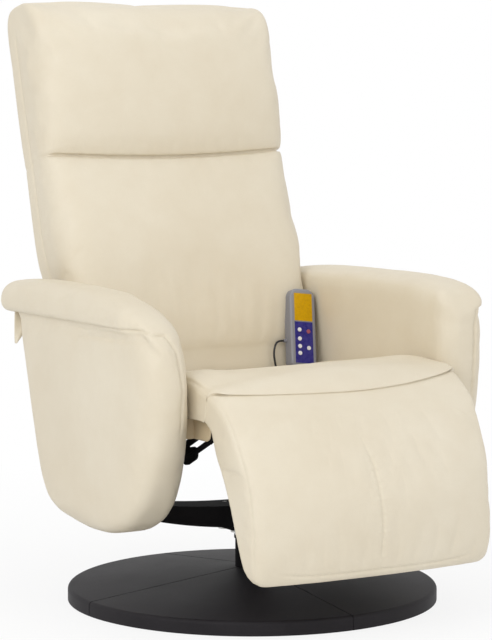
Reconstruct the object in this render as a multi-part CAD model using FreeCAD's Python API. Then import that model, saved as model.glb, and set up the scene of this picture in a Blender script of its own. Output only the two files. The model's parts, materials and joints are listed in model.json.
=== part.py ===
import FreeCAD, Part
import math
import os
from FreeCAD import Vector

# Recliner on a swivel base. Origin on the floor at the swivel axis, +Z up, the sitter faces -Y.

# general clearances
running_gap = 0.05
fit_gap = 0.3
hole_gap = 0.2
soft_gap = 3.0
overrun = 30.0

# round base
base_radius = 335.0
base_rim = 26.0
base_rise = 32.0
base_edge = 6.0
cover_wall = 3.0
cover_lift = 1.0
seam_width = 2.4
seam_depth = 1.0
floor_pad_thickness = 3.0
plate_thickness = 8.0

# column and swivel bearing
column_radius = 31.0
column_wall = 3.0
column_top = 116.0
flange_radius = 66.0
flange_thickness = 6.0
cap_radius = 33.0
spindle_radius = 12.0
spindle_length = 46.0
column_bolt_radius = 4.0
column_bolt_head = 6.5
column_bolt_head_height = 5.0
column_bolt_count = 4
column_bolt_turn_share = 0.5
race_bore = 18.0
race_radius = 32.0
race_thickness = 6.0
ball_radius = 4.0
ball_count = 12
ball_seat = 1.5

# hub and cross beam
hub_length = 124.0
hub_depth = 70.0
hub_thickness = 6.0
hub_sleeve_wall = 8.0
hub_sleeve_height = 27.0
beam_depth = 70.0
beam_height = 38.0
beam_end_rise = 20.0
beam_foot_rise = 31.0
beam_flat = 58.0
beam_foot_share = 0.36
flange_bolt_share = 0.6
beam_wall = 4.0
beam_flange_thickness = 8.0
beam_flange_height = 77.0
beam_bolt_radius = 5.0
beam_bolt_head = 11.0
beam_bolt_head_height = 5.0
beam_bolt_reach = 46.0
beam_bolt_spread = 22.0

# arms
arm_gap = 500.0
arm_thickness = 95.0
arm_bottom = 156.0
arm_seam = 520.0
arm_front = -245.0
arm_rear = 255.0
arm_edge = 34.0
arm_front_shares = [(1.0, 0.75), (0.92, 0.43), (0.755, 0.2), (0.49, 0.045), (0.12, 0.0)]
arm_rear_shares = [(0.294, 0.033), (0.588, 0.19)]
arm_frame_thickness = 18.0
arm_frame_shares = [(-0.8, 0.72), (-0.72, 0.38), (-0.42, 0.13), (0.2, 0.11), (0.44, 0.24)]
arm_frame_top_share = 0.8
roll_height = 62.0
roll_overhang = 12.0
roll_front = -247.0
roll_rear = 296.0
roll_front_radius = 52.0
roll_rear_radius = 30.0
roll_edge = 25.0
flap_drop = 62.0
flap_width = 55.0
flap_thickness = 3.0
flap_setback = 6.0
arm_bolt_radius = 4.0
arm_bolt_head = 7.0
arm_bolt_head_height = 4.0

# seat
seat_half = 246.0
seat_rear = 180.0
seat_front_top = 442.0
seat_rear_top = 391.5
seat_crown = 7.0
seat_corner = 14.0
seat_top_shares = [(0.0, 0.0), (0.3, 0.35), (0.68, 0.82), (1.0, 1.0)]
rail_thickness = 6.0
rail_inner = 222.0
rail_bottom = 336.0
rail_top = 366.0
rail_rear = 200.0
rail_front = -190.0
rail_ear_radius = 16.0
side_board_front = -188.0
side_board_drop = 4.0
tube_radius = 12.0
tube_drop = 20.0
tube_front = -120.0
tube_rear = 140.0
strap_count = 5
strap_width = 46.0
strap_thickness = 2.0
strap_front = -165.0
strap_rear = 160.0
motor_radius = 30.0
motor_height = 20.0
motor_spread = 110.0
seat_motor_place = -30.0
board_bolt_front = -60.0
board_bolt_rear = 90.0

# pivots, as places in the side view
knee_y = -258.0
knee_z = 350.0
recline_y = 250.0
recline_z = 385.0
stay_y = -35.0
stay_z = 270.0
stay_pin_y = -214.0
stay_pin_z = 358.0
crank_drop = 75.0
lever_drop = 50.0
pin_radius = 6.0
pin_slack = 4.0
eye_radius = 14.0

# control box under the seat
control_length = 130.0
control_depth = 60.0
control_height = 34.0
control_place = 110.0
inlet_radius = 6.0
inlet_bore = 2.8
inlet_length = 14.0
inlet_depth = 10.0

# backrest, in its own upright frame at the recline pivot
back_tilt = 15.0
back_half = 247.0
back_flare = 11.0
back_flare_levels = [195.0, 285.0]
back_height = 712.0
back_fold = 404.0
back_fold_gap = 0.4
back_rear = 48.0
back_split = 8.0
back_front = 60.0
back_crown = 20.0
back_barrel = 84.0
back_crevice = 8.0
back_shell_wall = 10.0
back_shell_bottom = 26.0
back_shell_edge = 16.0
back_notch = 208.0
back_notch_height = 28.0
back_side_bulge = 3.0
back_top_inset = 22.0
back_foot_share = 1.12
back_shares = [(0.1, 1.18), (0.42, 1.12), (0.7, 1.0), (0.93, 0.86)]
back_fold_share = 0.78
back_edge_share = 0.8
head_shares = [(0.14, 1.0), (0.36, 1.12), (0.75, 1.1), (0.92, 0.9)]
head_top_share = 0.45
frame_tube = 20.0
frame_top = 640.0
bracket_thickness = 6.0
bracket_height = 110.0
bracket_radius = 14.0
lumbar_height = 235.0
shoulder_height = 500.0

# footrest
foot_half = 245.0
foot_bottom = 108.0
knee_radius = 66.0
knee_crown = 26.0
knee_angles = [45.0, 14.0]
knee_roots = [30.0, 10.0]
knee_sides = [66.0, 80.0]
knee_middles = [92.0, 106.0]
foot_levels = [300.0, 243.0, 168.0, 124.0]
foot_rear = [-296.0, -327.0, -362.0, -380.0]
foot_side = [-378.0, -398.0, -404.0, -402.0]
foot_middle = [-411.0, -428.0, -429.0, -424.0]
foot_bottom_rear = -388.0
foot_bottom_side = -398.0
foot_bottom_middle = -412.0
foot_corner = 26.0
foot_low_inset = 6.0
foot_front_share = 0.82
foot_board_thickness = 12.0
foot_board_top = 306.0
foot_board_bottom = 150.0
foot_board_inset = 14.0
mechanism_inner = 194.0
lever_thickness = 6.0
rod_thickness = 8.0
rod_height = 18.0

# stay links
stay_inner = 202.0
stay_thickness = 6.0
stay_height = 11.0
stay_slot = 9.0
stay_slot_gap = 0.8
stay_head_radius = 13.0
stay_rod_radius = 5.0
stay_rod_drop = 22.0
stay_rod_length = 98.0
stay_rod_start_share = 0.42
clevis_length = 26.0
clevis_height = 24.0

# handset and its cord
handset_width = 56.0
handset_height = 149.0
handset_depth = 26.0
handset_split = 14.0
handset_wall = 2.2
handset_edge = 5.0
handset_top_radius = 17.0
handset_corner = 8.0
handset_tilt = 15.0
handset_roll = 7.0
handset_x = 200.0
handset_y = 163.6
handset_z = 389.0
screen_width = 39.0
screen_height = 53.0
screen_thickness = 1.6
panel_margin = 9.0
panel_gap = 2.0
keypad_height = 79.0
keypad_thickness = 1.6
button_radius = 4.0
button_travel = 0.8
button_proud = 1.6
button_side_share = 0.25
button_left_shares = [0.807, 0.588, 0.405, 0.238]
button_right_shares = [0.774, 0.371]
circuit_thickness = 1.6
circuit_inset = 14.0
gland_radius = 3.4
gland_length = 6.0
gland_height = 50.0
cord_radius = 2.0
cord_lead = 15.0
cord_bend_share = 0.45
cord_route = [
    (141.5, 165.5, 437.0), (136.5, 164.0, 419.0), (140.5, 162.6, 402.0), (145.0, 162.0, 386.0),
    (147.0, 162.0, 369.0), (147.5, 162.0, 352.0), (147.5, 162.0, 338.0),
]

# worked out
arm_inner = arm_gap / 2
arm_outer = arm_inner + arm_thickness
arm_middle = arm_inner + arm_thickness / 2
arm_frame_outer = arm_middle + arm_frame_thickness / 2
plate_radius = base_radius - cover_wall - fit_gap
plate_bottom = floor_pad_thickness
plate_top = plate_bottom + plate_thickness
column_hole = column_radius + fit_gap
ball_pitch = (race_bore + race_radius) / 2
lower_race_top = column_top + race_thickness
ball_level = lower_race_top - ball_seat + ball_radius
upper_race_bottom = ball_level + ball_radius - ball_seat
hub_bottom = upper_race_bottom + race_thickness
beam_bottom = hub_bottom + hub_thickness
beam_top = beam_bottom + beam_height
sleeve_radius = spindle_radius + running_gap + hub_sleeve_wall
beam_reach = arm_inner - fit_gap
rail_outer = rail_inner + rail_thickness
bracket_outer = rail_inner - fit_gap
bracket_inner = bracket_outer - bracket_thickness
seat_depth = knee_y - seat_rear
tube_height = rail_top - tube_drop
control_front = tube_rear - tube_radius - control_depth
drive_y = recline_y
drive_z = recline_z - crank_drop
lever_y = knee_y
lever_z = knee_z - lever_drop
board_bolts = (board_bolt_front, board_bolt_rear)
flange_bolts = (-beam_bolt_spread, beam_bolt_spread)
flange_bottom = beam_top + beam_end_rise - beam_flange_thickness
flange_bolt_z = flange_bottom + beam_flange_height * flange_bolt_share
side_board_top = rail_top
side_board_bottom = rail_bottom - side_board_drop
button_length = handset_depth + fit_gap + button_proud - handset_split - button_travel
screen_left = -screen_width / 2
screen_top = handset_height - panel_margin
screen_bottom = screen_top - screen_height
keypad_top = screen_bottom - panel_gap
keypad_bottom = keypad_top - keypad_height
left = -1
right = 1


def block(x_span, y_span, z_span):
    corner = Vector(x_span[0], y_span[0], z_span[0])
    return Part.makeBox(x_span[1] - x_span[0], y_span[1] - y_span[0], z_span[1] - z_span[0], corner)


def upright(x, y, radius, bottom, top):
    return Part.makeCylinder(radius, top - bottom, Vector(x, y, bottom))


def crossways(y, z, radius, start, end):
    return Part.makeCylinder(radius, end - start, Vector(start, y, z), Vector(1, 0, 0))


def ring(outer, bore, bottom, top):
    return upright(0, 0, outer, bottom, top).cut(upright(0, 0, bore, bottom - overrun, top + overrun))


def mirrored(shape):
    return shape.mirror(Vector(0, 0, 0), Vector(1, 0, 0))


def sided(shape, side):
    return shape if side == right else mirrored(shape)


def joined(shapes):
    whole = shapes[0].multiFuse(shapes[1:])
    return whole.removeSplitter()


def without(shape, cutters):
    for cutter in cutters:
        shape = shape.cut(cutter)
    return shape


def outline(start, legs):
    # a leg is an end point, or a point on an arc and its end point
    edges = []
    here = start
    for leg in legs:
        if len(leg) == 1:
            edges.append(Part.LineSegment(here, leg[0]).toShape())
        else:
            edges.append(Part.Arc(here, leg[0], leg[1]).toShape())
        here = leg[-1]
    return Part.Wire(edges)


def side_plate(points, x_start, x_end):
    corners = [Vector(x_start, y, z) for y, z in points]
    face = Part.Face(Part.makePolygon(corners + corners[:1]))
    return face.extrude(Vector(x_end - x_start, 0, 0))


def strap(a, b, radius, x_start, x_end):
    # flat bar with round ends between two places in the side view
    run_y = b[0] - a[0]
    run_z = b[1] - a[1]
    run = math.hypot(run_y, run_z)
    off_y = -run_z / run * radius
    off_z = run_y / run * radius
    sides = [(a[0] + off_y, a[1] + off_z), (b[0] + off_y, b[1] + off_z),
             (b[0] - off_y, b[1] - off_z), (a[0] - off_y, a[1] - off_z)]
    ends = [crossways(y, z, radius, x_start, x_end) for y, z in (a, b)]
    return joined([side_plate(sides, x_start, x_end)] + ends)


def floor_pad():
    return upright(0, 0, plate_radius, 0, floor_pad_thickness)


def column_bolt_places():
    pitch = (column_radius + flange_radius) / 2
    step = 2 * math.pi / column_bolt_count
    turns = [step * (index + column_bolt_turn_share) for index in range(column_bolt_count)]
    return [(pitch * math.cos(turn), pitch * math.sin(turn)) for turn in turns]


def column_bolt_holes():
    radius = column_bolt_radius + hole_gap
    top = plate_top + flange_thickness + overrun
    return [upright(x, y, radius, -overrun, top) for x, y in column_bolt_places()]


def base_plate():
    return without(upright(0, 0, plate_radius, plate_bottom, plate_top), column_bolt_holes())


def cover_body(inset):
    rim = base_radius - inset
    shoulder = rim - base_edge
    slope = base_rise / (base_radius - column_hole)
    foot = Vector(rim, 0, cover_lift)
    rim_top = Vector(rim, 0, base_rim - base_edge - inset)
    bend = 1 - math.sqrt(0.5)
    on_edge = Vector(rim - base_edge * bend, 0, base_rim - base_edge * bend - inset)
    edge_end = Vector(shoulder, 0, base_rim - inset + base_edge * slope)
    peak = Vector(0, 0, base_rim - inset + slope * rim)
    floor = Vector(0, 0, cover_lift)
    wire = outline(foot, [(rim_top,), (on_edge, edge_end), (peak,), (floor,), (foot,)])
    return Part.Face(wire).revolve(Vector(0, 0, 0), Vector(0, 0, 1), 360)


def base_cover():
    outer = cover_body(0)
    shell = outer.cut(cover_body(cover_wall))
    shell = shell.cut(upright(0, 0, plate_radius + fit_gap, -overrun, plate_top))
    shell = shell.cut(upright(0, 0, column_hole, -overrun, column_top))
    skin = outer.cut(cover_body(seam_depth))
    half = seam_width / 2
    reach = base_radius + overrun
    tall = (-overrun, column_top)
    seams = [block((-half, half), (-reach, reach), tall), block((-reach, reach), (-half, half), tall)]
    return shell.cut(skin.common(joined(seams)))


def column():
    flange = upright(0, 0, flange_radius, plate_top, plate_top + flange_thickness)
    tube = upright(0, 0, column_radius, plate_top, column_top)
    cap = upright(0, 0, cap_radius, column_top - flange_thickness, column_top)
    bore = upright(0, 0, column_radius - column_wall, plate_top - overrun, column_top - flange_thickness)
    spindle = upright(0, 0, spindle_radius, column_top - flange_thickness, column_top + spindle_length)
    body = joined([flange, tube, cap]).cut(bore)
    return without(joined([body, spindle]), column_bolt_holes())


def column_bolts():
    seat = plate_top + flange_thickness
    bolts = []
    for x, y in column_bolt_places():
        shank = upright(x, y, column_bolt_radius, plate_bottom, seat)
        head = upright(x, y, column_bolt_head, seat, seat + column_bolt_head_height)
        bolts.append(joined([shank, head]))
    return Part.makeCompound(bolts)


def ball_track():
    return Part.makeTorus(ball_pitch, ball_radius + running_gap, Vector(0, 0, ball_level))


def bearing_lower_race():
    return ring(race_radius, race_bore, column_top, lower_race_top).cut(ball_track())


def bearing_upper_race():
    return ring(race_radius, race_bore, upper_race_bottom, hub_bottom).cut(ball_track())


def bearing_balls():
    balls = []
    for index in range(ball_count):
        turn = 2 * math.pi * index / ball_count
        place = Vector(ball_pitch * math.cos(turn), ball_pitch * math.sin(turn), ball_level)
        balls.append(Part.makeSphere(ball_radius, place))
    return Part.makeCompound(balls)


def beam_bolt_places():
    reaches = (-beam_bolt_reach, beam_bolt_reach)
    return [(x, y) for x in reaches for y in flange_bolts]


def beam_bolt_holes():
    radius = beam_bolt_radius + hole_gap
    return [upright(x, y, radius, 0, arm_bottom + overrun * 2) for x, y in beam_bolt_places()]


def swivel_hub():
    length = (-hub_length / 2, hub_length / 2)
    plate = block(length, (-hub_depth / 2, hub_depth / 2), (hub_bottom, beam_bottom))
    sleeve = upright(0, 0, sleeve_radius, hub_bottom, beam_bottom + hub_sleeve_height)
    bore = upright(0, 0, spindle_radius + running_gap, 0, arm_seam)
    return without(joined([plate, sleeve]), [bore] + beam_bolt_holes())


def beam_body(wall, reach):
    bottom = beam_bottom + wall
    top = beam_top - wall
    foot_middle_x = (beam_flat + reach) / 2
    foot_middle_z = bottom + beam_foot_rise * beam_foot_share
    start = Vector(-beam_flat, 0, bottom)
    wire = outline(start, [
        (Vector(beam_flat, 0, bottom),),
        (Vector(foot_middle_x, 0, foot_middle_z), Vector(reach, 0, bottom + beam_foot_rise)),
        (Vector(reach, 0, top + beam_end_rise),),
        (Vector(0, 0, top), Vector(-reach, 0, top + beam_end_rise)),
        (Vector(-reach, 0, bottom + beam_foot_rise),),
        (Vector(-foot_middle_x, 0, foot_middle_z), start),
    ])
    depth = beam_depth - 2 * wall
    return Part.Face(wire).extrude(Vector(0, depth, 0)).translate(Vector(0, -depth / 2, 0))


def flange_holes():
    radius = arm_bolt_radius + hole_gap
    start = beam_reach - beam_flange_thickness - overrun
    holes = [crossways(y, flange_bolt_z, radius, start, arm_frame_outer) for y in flange_bolts]
    return holes + [mirrored(hole) for hole in holes]


def cross_beam():
    inner_end = beam_reach - beam_flange_thickness
    body = beam_body(0, inner_end).cut(beam_body(beam_wall, inner_end))
    depth = (-beam_depth / 2, beam_depth / 2)
    tall = (flange_bottom - beam_height, flange_bottom + beam_flange_height)
    ends = [block((inner_end, beam_reach), depth, tall), block((-beam_reach, -inner_end), depth, tall)]
    sleeve_hole = upright(0, 0, sleeve_radius + fit_gap, 0, arm_seam)
    return without(joined([body] + ends), [sleeve_hole] + beam_bolt_holes() + flange_holes())


def beam_bolts():
    bolts = []
    for x, y in beam_bolt_places():
        head = upright(x, y, beam_bolt_head, hub_bottom - beam_bolt_head_height, hub_bottom)
        shank = upright(x, y, beam_bolt_radius, hub_bottom, beam_top)
        bolts.append(joined([head, shank]))
    return Part.makeCompound(bolts)


def arm_place(y_share, z_share):
    reach = -arm_front if y_share < 0 else arm_rear
    return (y_share * reach, arm_bottom + z_share * (arm_seam - arm_bottom))


def arm_bolt_holes():
    radius = arm_bolt_radius + hole_gap
    level = (rail_bottom + rail_top) / 2
    holes = [crossways(y, level, radius, rail_inner - overrun, arm_frame_outer) for y in board_bolts]
    return holes + flange_holes()


def arm_frame(side):
    start = arm_middle - arm_frame_thickness / 2
    points = [arm_place(y, z) for y, z in arm_frame_shares]
    top_rear = (arm_frame_top_share * arm_rear, arm_seam)
    top_front = (arm_frame_top_share * arm_front, arm_seam)
    plate = side_plate(points + [top_rear, top_front], start, start + arm_frame_thickness)
    return sided(without(plate, arm_bolt_holes()), side)


def arm_pad(side):
    def spot(y_share, z_share):
        y, z = arm_place(y_share, z_share)
        return Vector(arm_inner, y, z)

    front = [spot(-y, z) for y, z in arm_front_shares]
    rear = [spot(y, z) for y, z in arm_rear_shares]
    start = Vector(arm_inner, arm_front, arm_seam)
    top_rear = Vector(arm_inner, arm_rear, arm_seam)
    wire = outline(start, [
        (front[0],), (front[1], front[2]), (front[3], front[4]), (rear[0], rear[1]), (top_rear,), (start,),
    ])
    body = Part.Face(wire).extrude(Vector(arm_thickness, 0, 0))
    rim = [edge for edge in body.Edges
           if edge.BoundBox.XLength < fit_gap and edge.BoundBox.ZMin < arm_seam - fit_gap]
    body = body.makeFillet(arm_edge, rim)
    return sided(without(body, [sided(arm_frame(side), side)] + arm_bolt_holes()), side)


def arm_roll(side):
    bottom = arm_seam
    top = arm_seam + roll_height
    bend = 1 - math.sqrt(0.5)
    start = Vector(arm_inner, roll_front, bottom)
    front_top = Vector(arm_inner, roll_front, top - roll_front_radius)
    front_bend = Vector(arm_inner, roll_front + roll_front_radius * bend, top - roll_front_radius * bend)
    front_end = Vector(arm_inner, roll_front + roll_front_radius, top)
    rear_start = Vector(arm_inner, roll_rear - roll_rear_radius, top)
    rear_bend = Vector(arm_inner, roll_rear - roll_rear_radius * bend, top - roll_rear_radius * bend)
    rear_end = Vector(arm_inner, roll_rear, top - roll_rear_radius)
    rear_bottom = Vector(arm_inner, roll_rear, bottom)
    wire = outline(start, [
        (front_top,), (front_bend, front_end), (rear_start,), (rear_bend, rear_end), (rear_bottom,), (start,),
    ])
    body = Part.Face(wire).extrude(Vector(arm_thickness + roll_overhang, 0, 0))
    rim = [edge for edge in body.Edges if edge.BoundBox.XLength < fit_gap]
    return sided(body.makeFillet(roll_edge, rim), side)


def arm_flaps():
    outer = arm_outer - flap_setback
    front = arm_rear + flap_setback
    corners = [Vector(outer, front, arm_seam), Vector(outer, front, arm_seam - flap_drop),
               Vector(outer - flap_width, front, arm_seam)]
    flap = Part.Face(Part.makePolygon(corners + corners[:1])).extrude(Vector(0, flap_thickness, 0))
    return Part.makeCompound([flap, mirrored(flap)])


def arm_bolts():
    bolts = []
    end = arm_frame_outer
    level = (rail_bottom + rail_top) / 2
    seats = [(y, level, rail_inner) for y in board_bolts]
    seats += [(y, flange_bolt_z, beam_reach - beam_flange_thickness) for y in flange_bolts]
    for y, z, seat in seats:
        head = crossways(y, z, arm_bolt_head, seat - arm_bolt_head_height, seat)
        bolt = joined([head, crossways(y, z, arm_bolt_radius, seat, end)])
        bolts += [bolt, mirrored(bolt)]
    return Part.makeCompound(bolts)


def seat_rail(side):
    bar = block((rail_inner, rail_outer), (rail_front, rail_rear), (rail_bottom, rail_top))
    middle = (rail_bottom + rail_top) / 2
    wide = (rail_ear_radius - fit_gap, rail_inner, rail_outer)
    nose = strap((rail_front, middle), (knee_y, knee_z), *wide)
    ear = strap((rail_rear, middle), (recline_y, recline_z), *wide)
    bracket_foot = strap((stay_y, middle), (stay_y, stay_z), *wide)
    pivots = ((knee_y, knee_z), (recline_y, recline_z), (stay_y, stay_z))
    holes = [crossways(y, z, pin_radius, rail_inner - overrun, rail_outer + overrun) for y, z in pivots]
    body = joined([bar, nose, ear, bracket_foot])
    return sided(without(body, holes + arm_bolt_holes()), side)


def hinge_pins():
    spans = [(knee_y, knee_z, bracket_inner), (recline_y, recline_z, bracket_inner)]
    spans.append((stay_y, stay_z, stay_inner))
    pins = [crossways(y, z, pin_radius, start, rail_outer) for y, z, start in spans]
    return Part.makeCompound(pins + [mirrored(pin) for pin in pins])


def seat_side(side):
    spans = ((rail_outer, beam_reach), (side_board_front, rail_rear), (side_board_bottom, side_board_top))
    return sided(without(block(*spans), arm_bolt_holes()), side)


def seat_cross_tubes():
    tubes = []
    for y in (tube_front, tube_rear):
        tube = crossways(y, tube_height, tube_radius, -rail_inner, rail_inner)
        tubes.append(tube)
    return Part.makeCompound(tubes)


def seat_webbing():
    straps = []
    pitch = (strap_rear - strap_front - strap_width) / (strap_count - 1)
    for index in range(strap_count):
        front = strap_front + pitch * index
        level = (rail_top, rail_top + strap_thickness)
        straps.append(block((-rail_outer, rail_outer), (front, front + strap_width), level))
    return Part.makeCompound(straps)


def seat_section(y, top):
    edge_top = top - seat_crown
    rim = seat_half - seat_corner
    floor = rail_top + strap_thickness + fit_gap
    waist = (floor + edge_top) / 2
    start = Vector(-rim, y, floor)
    return outline(start, [
        (Vector(rim, y, floor),),
        (Vector(seat_half, y, waist), Vector(rim, y, edge_top)),
        (Vector(0, y, top), Vector(-rim, y, edge_top)),
        (Vector(-seat_half, y, waist), start),
    ])


def knee_barrel(extra, angle):
    edge = knee_radius + extra
    middle = knee_radius + knee_crown + extra
    half = foot_half + extra
    start = Vector(-half, knee_y, knee_z)
    wire = outline(start, [
        (Vector(half, knee_y, knee_z),),
        (Vector(half, knee_y - edge, knee_z),),
        (Vector(0, knee_y - middle, knee_z), Vector(-half, knee_y - edge, knee_z)),
        (start,),
    ])
    return Part.Face(wire).revolve(Vector(0, knee_y, knee_z), Vector(-1, 0, 0), angle)


def motor_pod(x, y, bottom):
    return upright(x, y, motor_radius, bottom, bottom + motor_height)


def seat_motors():
    bottom = rail_top + strap_thickness
    return Part.makeCompound([motor_pod(x, seat_motor_place, bottom) for x in (-motor_spread, motor_spread)])


def seat_cushion():
    wires = []
    for y_share, top_share in seat_top_shares:
        y = seat_rear + y_share * seat_depth
        wires.append(seat_section(y, seat_rear_top + top_share * (seat_front_top - seat_rear_top)))
    body = Part.makeLoft(wires, True)
    pockets = Part.makeCylinder(motor_radius + fit_gap, motor_height + fit_gap)
    level = rail_top + strap_thickness
    holes = [pockets.translated(Vector(x, seat_motor_place, level)) for x in (-motor_spread, motor_spread)]
    crevice = crossways(recline_y, recline_z, back_barrel + back_crevice, -arm_inner, arm_inner)
    return without(body, [knee_barrel(soft_gap, 360), crevice] + holes)


def control_box():
    front = control_front
    top = rail_top
    spans = ((control_place - control_length / 2, control_place + control_length / 2),
             (front, front + control_depth), (top - control_height, top))
    return block(*spans).cut(inlet_hole(front))


def inlet_hole(front):
    level = rail_top - control_height / 2
    return Part.makeCylinder(inlet_radius, inlet_depth, Vector(control_place, front, level), Vector(0, 1, 0))


def power_inlet():
    front = control_front
    level = rail_top - control_height / 2
    start = front + inlet_depth - inlet_length
    body = Part.makeCylinder(inlet_radius, inlet_length, Vector(control_place, start, level), Vector(0, 1, 0))
    bore = Part.makeCylinder(inlet_bore, inlet_depth, Vector(control_place, start, level), Vector(0, 1, 0))
    return body.cut(bore)


def place_back(shape):
    shape.rotate(Vector(0, 0, 0), Vector(1, 0, 0), -back_tilt)
    shape.translate(Vector(0, recline_y, recline_z))
    return shape


def back_frame():
    outer = bracket_inner
    span = (back_split + fit_gap, back_split + fit_gap + frame_tube)
    pieces = []
    for side in (left, right):
        edges = sorted((side * outer, side * (outer - frame_tube)))
        pieces.append(block(edges, span, (back_notch_height, frame_top)))
    for level in (back_notch_height, lumbar_height + motor_radius * 2, frame_top - frame_tube):
        pieces.append(block((-outer, outer), span, (level, level + frame_tube)))
    return place_back(joined(pieces))


def crank_place():
    # the crank pin in the backrest's own frame hangs straight below the pivot when placed
    turn = math.radians(back_tilt)
    return (crank_drop * math.sin(turn), -crank_drop * math.cos(turn))


def back_crank():
    # hangs from the frame's lowest tube and carries the pin of the drive rod
    foot = crank_place()
    root = (back_split + fit_gap + frame_tube / 2, back_notch_height + frame_tube / 2)
    reach = (rod_thickness, rod_thickness + lever_thickness)
    above = block((0, arm_outer), (-back_height, back_height), (back_notch_height, back_height))
    arm = strap(foot, root, eye_radius, *reach).cut(above)
    pin = crossways(*foot, pin_radius, -rod_thickness, reach[1])
    return place_back(joined([arm, pin]))


def back_bracket(side):
    body = strap((0, 0), (back_split + fit_gap + frame_tube / 2, bracket_height), bracket_radius,
                 bracket_inner, bracket_outer)
    return place_back(sided(body.cut(crossways(0, 0, pin_radius + running_gap, 0, arm_outer)), side))


def back_notches():
    reach = back_half + overrun
    deep = (-back_height, back_height)
    tall = (-back_height, back_notch_height)
    return [block((back_notch, reach), deep, tall), block((-reach, -back_notch), deep, tall)]


def bracket_slots():
    gap = fit_gap
    slots = []
    for side in (left, right):
        slot = strap((0, 0), (back_split + gap + frame_tube / 2, bracket_height), bracket_radius + gap,
                     bracket_inner - gap, bracket_outer + gap)
        slots.append(sided(slot, side))
    return slots


def back_half_at(level):
    # narrow between the arms and wider above them
    start, end = back_flare_levels
    rise = (level - start) / (end - start)
    return back_half + back_flare * min(1, max(0, rise))


def back_shell():
    wall = back_shell_wall
    narrow, wide = back_flare_levels
    profile = []
    for level in (back_shell_bottom, narrow, wide, back_height):
        profile.append(Vector(back_half_at(level), back_split, level))
    other = [Vector(-spot.x, spot.y, spot.z) for spot in reversed(profile)]
    face = Part.Face(Part.makePolygon(profile + other + profile[:1]))
    outer = face.extrude(Vector(0, back_rear - back_split, 0))
    rim = [edge for edge in outer.Edges if edge.BoundBox.YMin > back_rear - fit_gap]
    rim += [edge for edge in outer.Edges if edge.BoundBox.ZMin > back_height - fit_gap]
    body = outer.makeFillet(back_shell_edge, unique_edges(rim))
    deep = (back_split - overrun, back_rear - wall)
    tall = (back_shell_bottom + wall, back_height - wall * 2)
    room = block((-back_half + wall, back_half - wall), deep, tall)
    half = bracket_outer + fit_gap
    mouth = block((-half, half), deep, (-overrun, back_shell_bottom + wall * 2))
    return place_back(without(body, [room, mouth] + back_notches() + bracket_slots()))


def unique_edges(edges):
    kept = []
    for edge in edges:
        if not any(edge.isSame(other) for other in kept):
            kept.append(edge)
    return kept


def back_section(level, half, edge_front, middle_front):
    rim = half - back_side_bulge
    start = Vector(-rim, back_split, level)
    side_y = (back_split - edge_front) / 2
    return outline(start, [
        (Vector(rim, back_split, level),),
        (Vector(half, side_y, level), Vector(rim, -edge_front, level)),
        (Vector(0, -middle_front, level), Vector(-rim, -edge_front, level)),
        (Vector(-half, side_y, level), start),
    ])


def padded_column(bottom, top, shares, top_inset):
    # sections up one cushion, each with its level and how far its front swells
    depth = back_front + back_crown
    wires = []
    for level_share, front_share in shares:
        level = bottom + level_share * (top - bottom)
        front = depth * front_share
        half = back_half_at(level) - (top_inset if level_share == 1 else 0)
        wires.append(back_section(level, half, front * back_edge_share, front))
    return Part.makeLoft(wires, True)


def motor_pockets(level, radius, deep):
    start = back_split - deep
    pods = []
    for x in (-motor_spread, motor_spread):
        pods.append(Part.makeCylinder(radius, deep, Vector(x, start, level), Vector(0, 1, 0)))
    return pods


def back_motors():
    pods = motor_pockets(lumbar_height, motor_radius, motor_height)
    pods += motor_pockets(shoulder_height, motor_radius, motor_height)
    return place_back(Part.makeCompound(pods))


def back_cushion():
    bottom = back_notch_height
    shares = [(0, back_foot_share)] + back_shares + [(1, back_fold_share)]
    body = padded_column(bottom, back_fold - back_fold_gap, shares, 0)
    barrel = crossways(0, 0, back_barrel, -back_notch, back_notch)
    keep = block((-back_notch, back_notch), (-back_barrel, back_split), (-back_barrel, bottom))
    pockets = motor_pockets(lumbar_height, motor_radius + fit_gap, motor_height + fit_gap)
    crank_room = block((-rod_thickness - overrun, rod_thickness + overrun), (-back_barrel, back_split),
                       (-back_barrel - overrun, bottom))
    whole = joined([body, barrel.common(keep)])
    return place_back(without(whole, pockets + bracket_slots() + [crank_room]))


def head_cushion():
    shares = [(0, back_fold_share)] + head_shares + [(1, head_top_share)]
    body = padded_column(back_fold, back_height, shares, back_top_inset)
    pockets = motor_pockets(shoulder_height, motor_radius + fit_gap, motor_height + fit_gap)
    return place_back(without(body, pockets))


def foot_section(rear, side_front, middle_front, half):
    # one slice across the pad, through three places in the side view that lie in line
    bend = 1 - math.sqrt(0.5)
    rim = half - foot_corner
    shoulder = [r + (f - r) * foot_front_share for r, f in zip(rear, side_front)]
    corner = [f + (s - f) * bend for f, s in zip(side_front, shoulder)]
    start = Vector(-half, *rear)
    return outline(start, [
        (Vector(half, *rear),),
        (Vector(half, *shoulder),),
        (Vector(half - foot_corner * bend, *corner), Vector(rim, *side_front)),
        (Vector(0, *middle_front), Vector(-rim, *side_front)),
        (Vector(-half + foot_corner * bend, *corner), Vector(-half, *shoulder)),
        (start,),
    ])


def knee_place(angle, reach):
    turn = math.radians(angle)
    return (knee_y - reach * math.cos(turn), knee_z + reach * math.sin(turn))


def foot_pad():
    wires = []
    for angle, root, side_reach, middle_reach in zip(knee_angles, knee_roots, knee_sides, knee_middles):
        spots = [knee_place(angle, reach) for reach in (root, side_reach, middle_reach)]
        wires.append(foot_section(*spots, foot_half))
    for level, rear, side_front, middle in zip(foot_levels, foot_rear, foot_side, foot_middle):
        wires.append(foot_section((rear, level), (side_front, level), (middle, level), foot_half))
    low = [(y, foot_bottom) for y in (foot_bottom_rear, foot_bottom_side, foot_bottom_middle)]
    wires.append(foot_section(*low, foot_half - foot_low_inset * 2))
    return Part.makeLoft(wires, True)


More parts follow.
